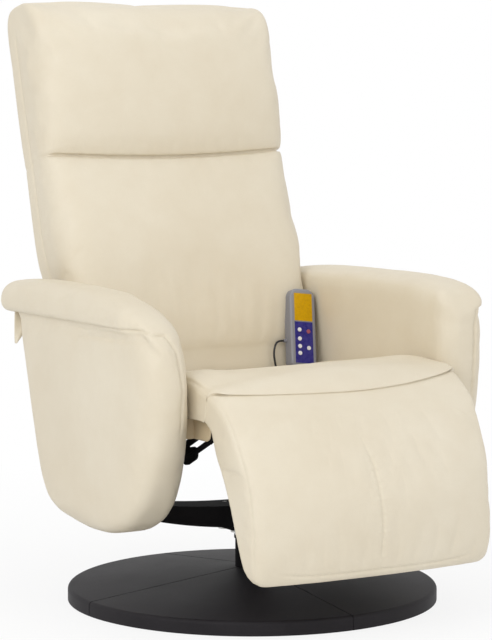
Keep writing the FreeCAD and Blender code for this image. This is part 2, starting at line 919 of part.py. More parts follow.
def foot_board_points():
    rear = [foot_rear[0] - foot_board_inset, foot_rear[2] - foot_board_inset]
    slope = (rear[1] - rear[0]) / (foot_levels[2] - foot_levels[0])
    top = rear[0] + slope * (foot_board_top - foot_levels[0])
    low = rear[0] + slope * (foot_board_bottom - foot_levels[0])
    thick = foot_board_thickness
    return [(top, foot_board_top), (low, foot_board_bottom), (low - thick, foot_board_bottom),
            (top - thick, foot_board_top)]


def footrest_board():
    return side_plate(foot_board_points(), -bracket_inner, bracket_inner)


def bracket_profile(radius, x_start, x_end):
    points = foot_board_points()
    low = (points[1][0] + eye_radius / 2, points[1][1] + eye_radius)
    arm = strap((knee_y, knee_z), (stay_pin_y, stay_pin_z), radius, x_start, x_end)
    shin = strap((knee_y, knee_z), low, radius, x_start, x_end)
    return joined([arm, shin])


def footrest_bracket(side):
    body = bracket_profile(eye_radius, bracket_inner, bracket_outer)
    pin = crossways(stay_pin_y, stay_pin_z, pin_radius, stay_inner, bracket_inner)
    bore = crossways(knee_y, knee_z, pin_radius + running_gap, 0, arm_outer)
    return sided(joined([body, pin]).cut(bore), side)


def footrest_lever():
    (top_y, top_z), (low_y, low_z) = foot_board_points()[:2]
    root_z = lever_z - eye_radius
    face = top_y + (low_y - top_y) * (top_z - root_z) / (top_z - low_z)
    root = (face + eye_radius / 2, root_z)
    body = strap(root, (lever_y, lever_z), eye_radius, rod_thickness, rod_thickness + lever_thickness)
    pin = crossways(lever_y, lever_z, pin_radius, -rod_thickness, rod_thickness + lever_thickness)
    return joined([body, pin]).cut(footrest_board())


def mechanism_room():
    # free space behind the knee for the rails, brackets and stays
    inner = mechanism_inner
    outer = rail_outer + fit_gap * 2
    rear = knee_y + knee_radius * 2
    behind = block((inner, outer), (knee_y + pin_radius, rear), (foot_bottom, seat_front_top + overrun))
    round_room = crossways(knee_y, knee_z, knee_radius - pin_radius * 2, inner, outer)
    return [behind, round_room]


def footrest_cushion():
    body = joined([foot_pad(), knee_barrel(0, 180)])
    cutters = mechanism_room()
    cutters += [mirrored(cutter) for cutter in cutters]
    half = rod_thickness + lever_thickness + pin_radius
    knee_front = knee_y - knee_radius + eye_radius
    rear = knee_y + knee_radius * 2
    cutters.append(block((-half, half), (knee_front, rear), (foot_board_bottom, knee_z)))
    cutters.append(block((-half, half), (knee_y + pin_radius, rear), (knee_z, seat_front_top + overrun)))
    slot = bracket_profile(eye_radius + hole_gap, bracket_inner, bracket_outer + hole_gap)
    cutters += [slot, mirrored(slot), footrest_board(), footrest_lever()]
    return without(body, cutters)


def stay_bar(side):
    start = stay_inner
    end = stay_inner + stay_thickness
    bar = strap((stay_y, stay_z), (stay_pin_y, stay_pin_z), stay_height / 2, start, end)
    eye = crossways(stay_y, stay_z, eye_radius, start, end)
    run = math.hypot(stay_pin_y - stay_y, stay_pin_z - stay_z)
    along = ((stay_pin_y - stay_y) / run, (stay_pin_z - stay_z) / run)
    slot_ends = []
    for way in (-1, 1):
        reach = stay_slot * way
        slot_ends.append((stay_pin_y + along[0] * reach, stay_pin_z + along[1] * reach))
    slot = strap(slot_ends[0], slot_ends[1], pin_radius + stay_slot_gap, start - overrun, end + overrun)
    head = strap(slot_ends[0], slot_ends[1], stay_head_radius, start, end)
    bore = crossways(stay_y, stay_z, pin_radius + running_gap, start - overrun, end + overrun)
    return sided(without(joined([bar, head, eye]), [slot, bore]), side)


def stay_rod(side):
    run = math.hypot(stay_pin_y - stay_y, stay_pin_z - stay_z)
    along = Vector(0, (stay_pin_y - stay_y) / run, (stay_pin_z - stay_z) / run)
    across = Vector(0, along.z, -along.y)
    middle = stay_inner + stay_thickness / 2
    base = Vector(middle, stay_y, stay_z) + across * -stay_rod_drop + along * (run * stay_rod_start_share)
    rod = Part.makeCylinder(stay_rod_radius, stay_rod_length, base, along)
    half = stay_thickness / 2
    span = (middle - half, middle + half)
    lugs = []
    for reach in (0, stay_rod_length - stay_rod_radius * 4):
        foot = base + along * (reach + stay_rod_radius * 2)
        root = foot + across * (stay_rod_drop - stay_height / 2)
        lugs.append(strap((foot.y, foot.z), (root.y, root.z), stay_rod_radius, *span))
    tip = base + along * clevis_length
    clevis = strap((base.y, base.z), (tip.y, tip.z), clevis_height / 2 - fit_gap, *span)
    body = joined([rod, clevis] + lugs)
    return sided(body.cut(sided(stay_bar(side), side)), side)


def drive_rod():
    half = rod_thickness / 2
    bar = strap((drive_y, drive_z), (lever_y, lever_z), rod_height / 2, -half, half)
    pivots = ((drive_y, drive_z), (lever_y, lever_z))
    ends = [crossways(y, z, eye_radius, -half, half) for y, z in pivots]
    bore = crossways(drive_y, drive_z, pin_radius + running_gap, -overrun, overrun)
    slack = crossways(lever_y, lever_z, pin_radius + pin_slack, -overrun, overrun)
    return without(joined([bar] + ends), [bore, slack])


def place_handset(shape):
    shape.rotate(Vector(0, 0, 0), Vector(0, 1, 0), handset_roll)
    shape.rotate(Vector(0, 0, 0), Vector(1, 0, 0), -handset_tilt)
    shape.translate(Vector(handset_x, handset_y, handset_z))
    return shape


def handset_body(inset):
    # upright, rear face on y = 0, front face at -handset_depth
    half = handset_width / 2 - inset
    middle = handset_height / 2
    body = block((-half, half), (-handset_depth + inset, -inset), (inset, handset_height - inset))
    deep = [edge for edge in body.Edges if edge.BoundBox.YLength > handset_wall]
    body = body.makeFillet(handset_top_radius - inset, [edge for edge in deep if edge.BoundBox.ZMin > middle])
    deep = [edge for edge in body.Edges if edge.BoundBox.YLength > handset_wall]
    body = body.makeFillet(handset_corner - inset, [edge for edge in deep if edge.BoundBox.ZMax < middle])
    rims = [edge for edge in body.Edges if edge.BoundBox.YLength < fit_gap]
    return body.makeFillet(handset_edge - inset, rims)


def handset_half(front):
    body = handset_body(0).cut(handset_body(handset_wall))
    if front:
        span = (-handset_depth - overrun, -handset_split)
    else:
        span = (-handset_split, overrun)
    return body.common(block((-handset_width, handset_width), span, (-overrun, handset_height + overrun)))


def panel(top, bottom, thickness):
    front = -handset_depth - fit_gap
    return block((screen_left, -screen_left), (front, front + thickness), (bottom, top))


def button_places():
    left_x = -screen_width * button_side_share
    right_x = screen_width * button_side_share
    places = [(left_x, keypad_bottom + share * keypad_height) for share in button_left_shares]
    return places + [(right_x, keypad_bottom + share * keypad_height) for share in button_right_shares]


def button_holes():
    radius = button_radius + hole_gap
    holes = []
    for x, z in button_places():
        holes.append(Part.makeCylinder(radius, handset_split, Vector(x, -handset_depth - fit_gap * 3, z),
                                       Vector(0, 1, 0)))
    return holes


def handset_front():
    screen_pocket = panel(screen_top, screen_bottom, screen_thickness)
    keypad_pocket = panel(keypad_top, keypad_bottom, keypad_thickness)
    cutters = [screen_pocket, keypad_pocket] + button_holes()
    return place_handset(without(handset_half(True), cutters))


def handset_rear():
    x = -handset_width / 2 - gland_length
    gland = Part.makeCylinder(gland_radius, gland_length + handset_wall / 2,
                              Vector(x, -handset_split / 2, gland_height), Vector(1, 0, 0))
    return place_handset(joined([handset_half(False), gland]))


def handset_screen():
    return place_handset(panel(screen_top, screen_bottom, screen_thickness))


def handset_keypad():
    return place_handset(without(panel(keypad_top, keypad_bottom, keypad_thickness), button_holes()))


def circuit_board():
    half = handset_width / 2 - handset_wall - fit_gap
    front = -handset_split
    span = (handset_wall + circuit_inset, handset_height - handset_wall - circuit_inset)
    return place_handset(block((-half, half), (front, front + circuit_thickness), span))


def handset_button(place):
    x, z = place
    front = -handset_depth - fit_gap - button_proud
    body = Part.makeCylinder(button_radius, button_length, Vector(x, front, z), Vector(0, 1, 0))
    edges = [edge for edge in body.Edges if edge.BoundBox.YMax < front + fit_gap]
    return place_handset(body.makeFillet(button_proud / 2, edges))


def cord_path(points):
    # straight runs joined by arcs as large as the shorter run allows
    edges = []
    radii = []
    here = points[0]
    length = 0
    for before, corner, after in zip(points, points[1:], points[2:]):
        back = (before - corner)
        ahead = (after - corner)
        turn = math.pi - back.getAngle(ahead)
        cut = cord_bend_share * min(back.Length, ahead.Length)
        radius = cut / math.tan(turn / 2)
        start = corner + back.normalize() * cut
        end = corner + ahead.normalize() * cut
        middle = corner + (back + ahead).normalize() * (radius / math.cos(turn / 2) - radius)
        edges.append(Part.LineSegment(here, start).toShape())
        edges.append(Part.Arc(start, middle, end).toShape())
        length += (start - here).Length + radius * turn
        radii.append(radius)
        here = end
    edges.append(Part.LineSegment(here, points[-1]).toShape())
    length += (points[-1] - here).Length
    return Part.Wire(edges), radii, length


def gland_tip(lead):
    tip = Part.Vertex(-handset_width / 2 - gland_length - lead, -handset_split / 2, gland_height)
    return place_handset(tip).Point


def handset_cord():
    points = [gland_tip(0), gland_tip(cord_lead)] + [Vector(*point) for point in cord_route]
    print("cord start", [tuple(round(value, 2) for value in point) for point in points[:2]])
    path, radii, length = cord_path(points)
    first = points[1] - points[0]
    section = Part.Wire(Part.makeCircle(cord_radius, points[0], first))
    tube = path.makePipeShell([section], True, False)
    exact = math.pi * cord_radius ** 2 * length
    print("cord radii", [round(radius, 1) for radius in radii], "length", round(length, 1))
    print("cord volume", round(tube.Volume, 1), "section times length", round(exact, 1))
    return tube


def nodes():
    made = {
        "floor_pad": floor_pad(),
        "base_plate": base_plate(),
        "base_cover": base_cover(),
        "column": column(),
        "column_bolts": column_bolts(),
        "bearing_lower_race": bearing_lower_race(),
        "bearing_balls": bearing_balls(),
        "bearing_upper_race": bearing_upper_race(),
        "swivel_hub": swivel_hub(),
        "cross_beam": cross_beam(),
        "beam_bolts": beam_bolts(),
        "arm_bolts": arm_bolts(),
        "arm_flaps": arm_flaps(),
        "hinge_pins": hinge_pins(),
        "seat_cross_tubes": seat_cross_tubes(),
        "seat_webbing": seat_webbing(),
        "seat_motors": seat_motors(),
        "seat_cushion": seat_cushion(),
        "control_box": control_box(),
        "power_inlet": power_inlet(),
        "back_frame": back_frame(),
        "back_crank": back_crank(),
        "back_shell": back_shell(),
        "back_cushion": back_cushion(),
        "head_cushion": head_cushion(),
        "back_motors": back_motors(),
        "footrest_cushion": footrest_cushion(),
        "footrest_board": footrest_board(),
        "footrest_lever": footrest_lever(),
        "drive_rod": drive_rod(),
        "handset_front": handset_front(),
        "handset_rear": handset_rear(),
        "handset_screen": handset_screen(),
        "handset_keypad": handset_keypad(),
        "circuit_board": circuit_board(),
        "handset_cord": handset_cord(),
    }
    paired = {
        "arm_frame": arm_frame, "arm_pad": arm_pad, "arm_roll": arm_roll, "seat_rail": seat_rail,
        "seat_side": seat_side, "back_bracket": back_bracket, "footrest_bracket": footrest_bracket,
        "stay_bar": stay_bar, "stay_rod": stay_rod,
    }
    for name, make in paired.items():
        made[name + "_left"] = make(left)
        made[name + "_right"] = make(right)
    for number, place in enumerate(button_places(), 1):
        made["button_%d" % number] = handset_button(place)
    return made


os.makedirs("parts", exist_ok=True)
for node, shape in nodes().items():
    shape.exportStep("parts/%s.step" % node)
    print(node, len(shape.Solids), "solids", round(shape.Volume), "valid", shape.isValid())
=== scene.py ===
import bpy
import bmesh
import json
import math
import numpy as np
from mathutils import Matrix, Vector
from mathutils.bvhtree import BVHTree
from mathutils.kdtree import KDTree


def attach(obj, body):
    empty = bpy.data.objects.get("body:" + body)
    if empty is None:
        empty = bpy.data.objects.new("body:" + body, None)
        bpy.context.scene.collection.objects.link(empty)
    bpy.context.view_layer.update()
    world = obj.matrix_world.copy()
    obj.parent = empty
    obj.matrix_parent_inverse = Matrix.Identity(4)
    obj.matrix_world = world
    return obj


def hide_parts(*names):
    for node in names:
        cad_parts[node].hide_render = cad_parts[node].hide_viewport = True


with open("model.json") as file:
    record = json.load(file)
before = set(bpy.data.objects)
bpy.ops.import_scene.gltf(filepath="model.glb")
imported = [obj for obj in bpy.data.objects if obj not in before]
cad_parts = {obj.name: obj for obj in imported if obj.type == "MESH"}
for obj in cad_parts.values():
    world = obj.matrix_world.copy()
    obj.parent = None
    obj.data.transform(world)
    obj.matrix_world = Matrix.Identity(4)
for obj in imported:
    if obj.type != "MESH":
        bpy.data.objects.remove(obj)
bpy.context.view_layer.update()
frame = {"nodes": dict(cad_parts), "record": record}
scene = bpy.context.scene
nodes = frame["nodes"]


def meshPiece(name, points, faces):
    mesh = bpy.data.meshes.new(name)
    mesh.from_pydata([tuple(p) for p in points], [], faces)
    mesh.update()
    piece = bpy.data.objects.new(name, mesh)
    scene.collection.objects.link(piece)
    mesh.polygons.foreach_set("use_smooth", [True] * len(mesh.polygons))
    return piece


def curveThrough(rows, count):  # smooth run through table rows, Catmull-Rom on a chord-length scale
    rows = np.asarray(rows, float)
    steps = np.linalg.norm(np.diff(rows, axis=0), axis=1) ** 0.5
    at = np.concatenate([[0], np.cumsum(steps)])
    out = []
    for t in np.linspace(0, at[-1], count):
        i = min(max(np.searchsorted(at, t, side="right") - 1, 0), len(at) - 2)
        h = at[i + 1] - at[i]
        s = (t - at[i]) / h

        def slope(k):
            lo, hi = max(k - 1, 0), min(k + 1, len(at) - 1)
            return (rows[hi] - rows[lo]) / (at[hi] - at[lo])

        a, b = rows[i], rows[i + 1]
        out.append((2 * s**3 - 3 * s**2 + 1) * a + (s**3 - 2 * s**2 + s) * h * slope(i)
                   + (3 * s**2 - 2 * s**3) * b + (s**3 - s**2) * h * slope(i + 1))
    return np.array(out)


def evenRing(points, count):  # a closed outline cut into equal steps
    loop = np.vstack([points, points[:1]])
    at = np.concatenate([[0], np.cumsum(np.linalg.norm(np.diff(loop, axis=0), axis=1))])
    where = np.linspace(0, at[-1], count, endpoint=False)
    return np.stack([np.interp(where, at, loop[:, k]) for k in range(loop.shape[1])], axis=1)


def relaxed(loop, times):  # each point of a closed outline drawn towards its neighbours
    for _ in range(times):
        loop = 0.5 * loop + 0.25 * (np.roll(loop, 1, axis=0) + np.roll(loop, -1, axis=0))
    return loop


def softCorner(before, corner, after, radius, count=9):
    before, corner, after = (np.asarray(p, float) for p in (before, corner, after))
    start = corner + (before - corner) / np.linalg.norm(before - corner) * radius
    end = corner + (after - corner) / np.linalg.norm(after - corner) * radius
    t = np.linspace(0, 1, count)[:, None]
    return (1 - t) ** 2 * start + 2 * t * (1 - t) * corner + t ** 2 * end


def padSection(half, front, middle, rear, frontRadius, rearRadius, rearSwell, count):
    # outline across a pad: crowned front, drawn-in sides, nearly flat rear, from the rear's middle
    corners = [(-half, -rear), (-half, front), (half, front), (half, -rear)]
    radii = [rearRadius, frontRadius, frontRadius, rearRadius]
    points = []
    for i, corner in enumerate(corners):
        points.append(softCorner(corners[i - 1], corner, corners[(i + 1) % 4], radii[i]))
    loop = evenRing(np.vstack(points), count * 4)
    u = np.clip(np.abs(loop[:, 0]) / half, 0, 1)
    ahead = np.clip((loop[:, 1] + rear) / (front + rear), 0, 1)
    dome = (1 - u ** 2.4) ** 0.9
    loop[:, 1] += (middle - front) * dome * ahead ** 3
    loop[:, 1] -= rearSwell * dome * (1 - ahead) ** 3
    loop[:, 0] *= 1 - 0.012 * np.sin(np.pi * ahead) * (u > 0.8)
    start = np.argmin(np.abs(loop[:, 0]) + (loop[:, 1] > 0) * 9)
    return evenRing(np.roll(loop, -start, axis=0), count)


def loftPiece(name, rings, capSteps=5):
    rings = [np.asarray(r, float) for r in rings]
    lead, tail = rings[0], rings[-1]
    shrink = [1 - k / (capSteps + 1) for k in range(capSteps, 0, -1)]
    starts = [lead.mean(0) + (lead - lead.mean(0)) * k for k in shrink]
    ends = [tail.mean(0) + (tail - tail.mean(0)) * k for k in reversed(shrink)]
    rows = starts + rings + ends
    count = len(lead)
    points = np.vstack(rows + [lead.mean(0)[None], tail.mean(0)[None]])
    faces = []
    for r in range(len(rows) - 1):
        for c in range(count):
            d = (c + 1) % count
            faces.append((r * count + c, r * count + d, (r + 1) * count + d, (r + 1) * count + c))
    first, last = len(points) - 2, len(points) - 1
    tip = (len(rows) - 1) * count
    for c in range(count):
        d = (c + 1) % count
        faces.append((first, d, c))
        faces.append((last, tip + c, tip + d))
    return outward(meshPiece(name, points, faces))


def outward(piece):
    work = bmesh.new()
    work.from_mesh(piece.data)
    bmesh.ops.recalc_face_normals(work, faces=work.faces)
    work.to_mesh(piece.data)
    work.free()
    piece.data.update()
    return piece


def baked(piece):  # modifiers become the mesh
    graph = bpy.context.evaluated_depsgraph_get()
    mesh = bpy.data.meshes.new_from_object(piece.evaluated_get(graph))
    piece.modifiers.clear()
    piece.data = mesh
    mesh.polygons.foreach_set("use_smooth", [True] * len(mesh.polygons))
    return piece


def places(piece):
    out = np.zeros(len(piece.data.vertices) * 3, np.float32)
    piece.data.vertices.foreach_get("co", out)
    return out.reshape(-1, 3).astype(float)


def placed(piece, points):
    piece.data.vertices.foreach_set("co", np.asarray(points, np.float32).ravel())
    piece.data.update()
    return piece


def normalsOf(piece):
    out = np.zeros(len(piece.data.vertices) * 3, np.float32)
    piece.data.vertex_normals.foreach_get("vector", out)
    return out.reshape(-1, 3).astype(float)


def eased(piece, factor, times):
    smooth = piece.modifiers.new("ease", "SMOOTH")
    smooth.factor, smooth.iterations = factor, times
    return baked(piece)


def voxelled(piece, size):
    remesh = piece.modifiers.new("skin", "REMESH")
    remesh.mode, remesh.voxel_size = "VOXEL", size
    return baked(piece)


def divided(piece):
    sub = piece.modifiers.new("finer", "SUBSURF")
    sub.levels = sub.render_levels = 1
    return baked(piece)


def calmed(piece, move, times):  # a movement evened out over neighbouring points
    pairs = np.zeros(len(piece.data.edges) * 2, np.int32)
    piece.data.edges.foreach_get("vertices", pairs)
    here, there = np.concatenate([pairs, pairs.reshape(-1, 2)[:, ::-1].ravel()]).reshape(-1, 2).T
    count = np.maximum(np.bincount(here, minlength=len(move)), 1)
    for _ in range(times):
        around = np.column_stack([np.bincount(here, move[there, axis], len(move)) for axis in range(3)])
        move = 0.5 * move + 0.5 * around / count[:, None]
    return move


# what every cloth cover shares: solver quality, mass, rounds of evening out, and the hold that allows no movement
cover = {"quality": 4, "mass": 0.25, "rounds": 14, "fast": 0.95}


def swollen(piece, fill, held):
    # air pressure fills the cover like foam; held is 1 where it is sewn down or backed by the frame
    start = places(piece)
    group = piece.vertex_groups.new(name="held")
    for level in range(1, 11):
        members = np.nonzero(np.round(held * 10) == level)[0]
        group.add([int(i) for i in members], level / 10, "REPLACE")
    cloth = piece.modifiers.new("cover", "CLOTH")
    how = cloth.settings
    how.vertex_group_mass = "held"
    how.quality, how.mass = cover["quality"], cover["mass"]
    how.tension_stiffness = how.compression_stiffness = fill["stretch"]
    how.shear_stiffness = fill["stretch"] / 2
    how.bending_stiffness = fill["bend"]
    how.shrink_min = fill["slack"]
    how.use_pressure = True
    how.uniform_pressure_force = fill["pressure"]
    how.effector_weights.gravity = 0
    cloth.collision_settings.use_collision = False
    for step in range(1, fill["steps"] + 1):
        scene.frame_set(step)
    graph = bpy.context.evaluated_depsgraph_get()
    shape = piece.evaluated_get(graph).to_mesh()
    end = np.zeros(len(shape.vertices) * 3, np.float32)
    shape.vertices.foreach_get("co", end)
    piece.modifiers.clear()
    piece.vertex_groups.clear()
    scene.frame_set(1)
    move = end.reshape(-1, 3) - start
    length = np.linalg.norm(move, axis=1, keepdims=True)
    move *= fill["cap"] * np.tanh(length / fill["cap"]) / np.maximum(length, 1e-9)
    move = fill["creases"] * move + (1 - fill["creases"]) * calmed(piece, move, cover["rounds"])
    move[held > cover["fast"]] = 0
    print("  swelled", piece.name, "most", round(float(length.max()) * 1000, 1), "mm")
    return placed(piece, start + move)


def waver(where, seed):  # repeatable uneven number along a run, between -1 and 1
    where = np.asarray(where, float)
    return (np.sin(where * 1.0 + seed) + np.sin(where * 2.3 + seed * 1.7 + 1)
            + np.sin(where * 4.1 + seed * 2.9 + 2)) / 3


def sewn(piece, line, seam):
    # a sewn line draws the cover in, with small puckers along it
    line = np.asarray(line, float)
    steps = np.concatenate([[0], np.cumsum(np.linalg.norm(np.diff(line, axis=0), axis=1))])
    dense = np.linspace(0, steps[-1], max(int(steps[-1] / 0.0015), 8))
    path = np.stack([np.interp(dense, steps, line[:, k]) for k in range(3)], axis=1)
    tree = KDTree(len(path))
    for i, p in enumerate(path):
        tree.insert(p, i)
    tree.balance()
    points, normals = places(piece), normalsOf(piece)
    reach = seam["width"] * 3 + seam.get("spread", 0) * 3
    fade = seam.get("fade", 0.02)
    near = np.all((points > path.min(0) - reach) & (points < path.max(0) + reach), axis=1)
    chosen = np.nonzero(near)[0]
    found = [tree.find(p) for p in points[chosen]]
    run = dense[[f[1] for f in found]]
    gap = np.array([f[2] for f in found])
    ends = np.clip(np.minimum(run, steps[-1] - run) / fade, seam.get("ends", 0), 1)
    dip = seam["depth"] * np.exp(-(gap / seam["width"]) ** 2)
    if seam.get("spread"):
        ripple = waver(run / seam["pitch"] * 2 * math.pi, seam.get("seed", 0))
        dip += seam["pucker"] * (0.6 + 0.6 * ripple) * np.exp(-(gap / seam["spread"]) ** 2)
    points[chosen] -= normals[chosen] * (dip * ends)[:, None]
    return placed(piece, points)


def searchTree(piece):
    work = bmesh.new()
    work.from_mesh(piece.data)
    tree = BVHTree.FromBMesh(work)
    work.free()
    return tree


def onSurface(piece, points):  # nearest places on a piece
    tree = searchTree(piece)
    return np.array([tree.find_nearest(Vector(p))[0] for p in points])


def ontoPiece(piece, points, way):  # points pushed along one direction until they meet the piece
    tree = searchTree(piece)
    hits = [tree.ray_cast(Vector(p), Vector(way), 1.0)[0] for p in points]
    return np.array([Vector(p) if hit is None else hit for p, hit in zip(points, hits)])


def joinedPiece(name, pieces):
    points, faces, shift = [], [], 0
    for piece in pieces:
        points += [tuple(v.co) for v in piece.data.vertices]
        faces += [tuple(i + shift for i in f.vertices) for f in piece.data.polygons]
        shift += len(piece.data.vertices)
        bpy.data.objects.remove(piece)
    return meshPiece(name, points, faces)


def mirroredPiece(piece, name):
    points = places(piece)
    points[:, 0] *= -1
    faces = [tuple(reversed(f.vertices)) for f in piece.data.polygons]
    return meshPiece(name, points, faces)


class Wire:  # one socket of a finish; sums on it add Math nodes
    def __init__(self, tree, socket):
        self.tree, self.socket = tree, socket

    def node(self, kind, settings, sockets, output=0):
        made = self.tree.nodes.new(kind)
        for key, value in settings.items():
            setattr(made, key, value)
        for key, value in sockets.items():
            if isinstance(value, Wire):
                self.tree.links.new(value.socket, made.inputs[key])
            else:
                made.inputs[key].default_value = value
        return Wire(self.tree, made.outputs[output])

    def sum(self, operation, first, second):
        return self.node("ShaderNodeMath", {"operation": operation}, {0: first, 1: second})

    def __add__(self, other): return self.sum("ADD", self, other)
    def __radd__(self, other): return self.sum("ADD", other, self)
    def __sub__(self, other): return self.sum("SUBTRACT", self, other)
    def __rsub__(self, other): return self.sum("SUBTRACT", other, self)
    def __mul__(self, other): return self.sum("MULTIPLY", self, other)
    def __rmul__(self, other): return self.sum("MULTIPLY", other, self)

    def noise(self, scale, detail=2.0, rough=0.5):
        return self.node("ShaderNodeTexNoise", {}, {"Vector": self, "Scale": scale, "Detail": detail,
                                                    "Roughness": rough})

    def cells(self, scale, feature="DISTANCE_TO_EDGE"):
        return self.node("ShaderNodeTexVoronoi", {"feature": feature}, {"Vector": self, "Scale": scale})

    def stretch(self, x, y, z):
        return self.node("ShaderNodeMapping", {}, {"Vector": self, "Scale": (x, y, z)})

    def range(self, low, high, start=0.0, end=1.0):
        return self.node("ShaderNodeMapRange", {}, {"Value": self, "From Min": low, "From Max": high,
                                                    "To Min": start, "To Max": end})

    def between(self, first, second):  # colour between two, by this value
        return self.node("ShaderNodeMix", {"data_type": "RGBA"}, {0: self, 6: first, 7: second}, 2)

    def bump(self, strength, distance):
        return self.node("ShaderNodeBump", {}, {"Height": self, "Strength": strength, "Distance": distance})


def finish(name, roughness=0.5, **fixed):  # a new material: its place wire, its surface and itself
    material = bpy.data.materials.new(name)
    material.use_nodes = True
    tree = material.node_tree
    surface = tree.nodes["Principled BSDF"]
    surface.inputs["Roughness"].default_value = roughness
    for key, value in fixed.items():
        surface.inputs[key.replace("_", " ")].default_value = value
    spot = tree.nodes.new("ShaderNodeTexCoord")
    return Wire(tree, spot.outputs["Object"]), surface, material


def wired(surface, **links):
    for key, wire in links.items():
        wire.tree.links.new(wire.socket, surface.inputs[key.replace("_", " ")])


creamLeather = {"light": (0.788, 0.718, 0.578), "shade": (0.730, 0.648, 0.500), "grain": 820.0,
                "grainDepth": 0.00022, "roughness": (0.40, 0.54)}
# the cream leather darkened and browned: painted shade for the seat box sides under the seat
creamLeatherPaintedShade = {"light": (0.66, 0.55, 0.38), "shade": (0.55, 0.44, 0.28), "grain": 760.0, "grainDepth": 0.00022,
            "roughness": (0.5, 0.65)}


def leatherFinish(name, look):
    spot, surface, material = finish(name)
    cloud = spot.noise(3.1, 3.0)
    patch = spot.noise(19.0, 4.0, 0.6)
    tone = (cloud * 0.6 + patch * 0.4).range(0.35, 0.68)
    cells = spot.cells(look["grain"])
    pores = spot.noise(look["grain"] * 2.6, 2.0)
    valley = cells.range(0.0, 0.16)
    tint = tone.between((*look["shade"], 1), (*look["light"], 1))
    # the grain's valleys are darkened in the base colour: painted shade in the crevices
    grainValleyShade = tuple(c * 0.93 for c in look["shade"])
    wired(surface, Base_Color=valley.range(0.0, 1.0, 0.72, 1.0).between((*grainValleyShade, 1), tint))
    low, high = look["roughness"]
    wired(surface, Roughness=(patch * 0.6 + valley * -0.25 + pores * 0.3).range(0.05, 0.62, low, high))
    crease = spot.stretch(1.0, 1.0, 2.4).noise(46.0, 3.0, 0.55)
    height = valley * 0.7 + pores * 0.3 + crease * 1.6
    wired(surface, Normal=height.bump(0.55, look["grainDepth"]))
    return material


def paintFinish(name, colour, worn, roughness, grain, depth, metal=0.0, shine=0.5, cloud=7.0):
    # moulded or painted surface: fine texture, faint dust and slight wear
    spot, surface, material = finish(name, roughness, Metallic=metal, Specular_IOR_Level=shine)
    fine = spot.noise(grain, 3.0, 0.6)
    broad = spot.noise(cloud, 4.0, 0.6)
    rub = (broad * 0.7 + fine * 0.3).range(0.42, 0.72)
    wired(surface, Base_Color=rub.between((*colour, 1), (*worn, 1)))
    wired(surface, Roughness=(broad * 0.5 + fine * 0.5).range(0.3, 0.7, roughness - 0.08, roughness + 0.08))
    wired(surface, Normal=fine.bump(0.5, depth))
    return material


def plyFinish(name):
    spot, surface, material = finish(name, 0.7)
    bands = spot.stretch(1.0, 14.0, 1.0).noise(9.0, 6.0, 0.6)
    wired(surface, Base_Color=bands.range(0.3, 0.7).between((0.42, 0.28, 0.15, 1), (0.66, 0.49, 0.31, 1)))
    wired(surface, Normal=bands.bump(0.4, 0.0006))
    return material


def webFinish(name):
    spot, surface, material = finish(name, 0.85)
    weave = spot.stretch(1.0, 3.0, 1.0).cells(420.0, "F1")
    wired(surface, Base_Color=weave.range(0.1, 0.6).between((0.14, 0.125, 0.11, 1), (0.05, 0.045, 0.04, 1)))
    wired(surface, Normal=weave.bump(0.8, 0.0008))
    return material


# colour, worn colour, roughness, grain, depth, and what else differs
bySlot = {
    "cream_leather": leatherFinish("cream_leather", creamLeather),
    # the tan_board parts take the cream leather darkened as painted shade
    "tan_board": leatherFinish("cream_leather_painted_shade", creamLeatherPaintedShade),
    "black_metal": paintFinish("black_paint", (0.009, 0.0085, 0.0095), (0.018, 0.017, 0.018), 0.68, 900.0, 0.0001,
                               shine=0.04),
    "base_plastic": paintFinish("base_cover_vinyl", (0.019, 0.0172, 0.0195), (0.030, 0.0275, 0.0305), 0.56, 520.0,
                                0.0002, shine=0.12),
    "base_steel": paintFinish("base_plate_paint", (0.03, 0.03, 0.03), (0.06, 0.06, 0.06), 0.5, 700.0, 0.0001),
    "rubber": paintFinish("rubber_pad", (0.03, 0.03, 0.03), (0.055, 0.053, 0.05), 0.8, 400.0, 0.0003),
    "zinc_steel": paintFinish("zinc_plate", (0.52, 0.52, 0.51), (0.40, 0.39, 0.37), 0.32, 600.0, 0.0001, 1.0),
    "plywood": plyFinish("plywood"),
    "webbing": webFinish("seat_straps"),
    "motor_plastic": paintFinish("motor_case", (0.03, 0.03, 0.03), (0.05, 0.05, 0.05), 0.5, 800.0, 0.0002),
    "handset_grey": paintFinish("handset_case", (0.235, 0.235, 0.265), (0.29, 0.29, 0.31),
                                0.42, 1500.0, 0.00008),
    "amber_window": paintFinish("amber_window", (0.66, 0.375, 0.002), (0.50, 0.26, 0.002), 0.30, 300.0,
                                0.00002, shine=0.12, cloud=190.0),
    "keypad_violet": paintFinish("keypad_panel", (0.026, 0.022, 0.20), (0.060, 0.055, 0.27), 0.30, 900.0,
                                 0.00004, shine=0.2, cloud=120.0),
    "button_white": paintFinish("button_white", (0.82, 0.82, 0.84), (0.74, 0.74, 0.76), 0.38, 900.0, 0.00005),
    "button_red": paintFinish("button_red", (0.36, 0.085, 0.12), (0.30, 0.07, 0.10), 0.38, 900.0, 0.00005),
    "board_green": paintFinish("circuit_green", (0.03, 0.17, 0.07), (0.05, 0.21, 0.09), 0.4, 600.0, 0.0001),
    "cord_black": paintFinish("cord_jacket", (0.014, 0.013, 0.013), (0.03, 0.028, 0.027),
                              0.5, 1200.0, 0.0001),
}
for part in frame["record"]["subparts"]:
    node = nodes[part["node"]]
    node.data.materials.clear()
    node.data.materials.append(bySlot[part["material_slot"]])
print("finishes on", len(nodes), "nodes")


def dress(piece, slot, body, *replaced):
    piece.data.materials.clear()
    piece.data.materials.append(bySlot[slot])
    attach(piece, body)
    if replaced:
        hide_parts(*replaced)


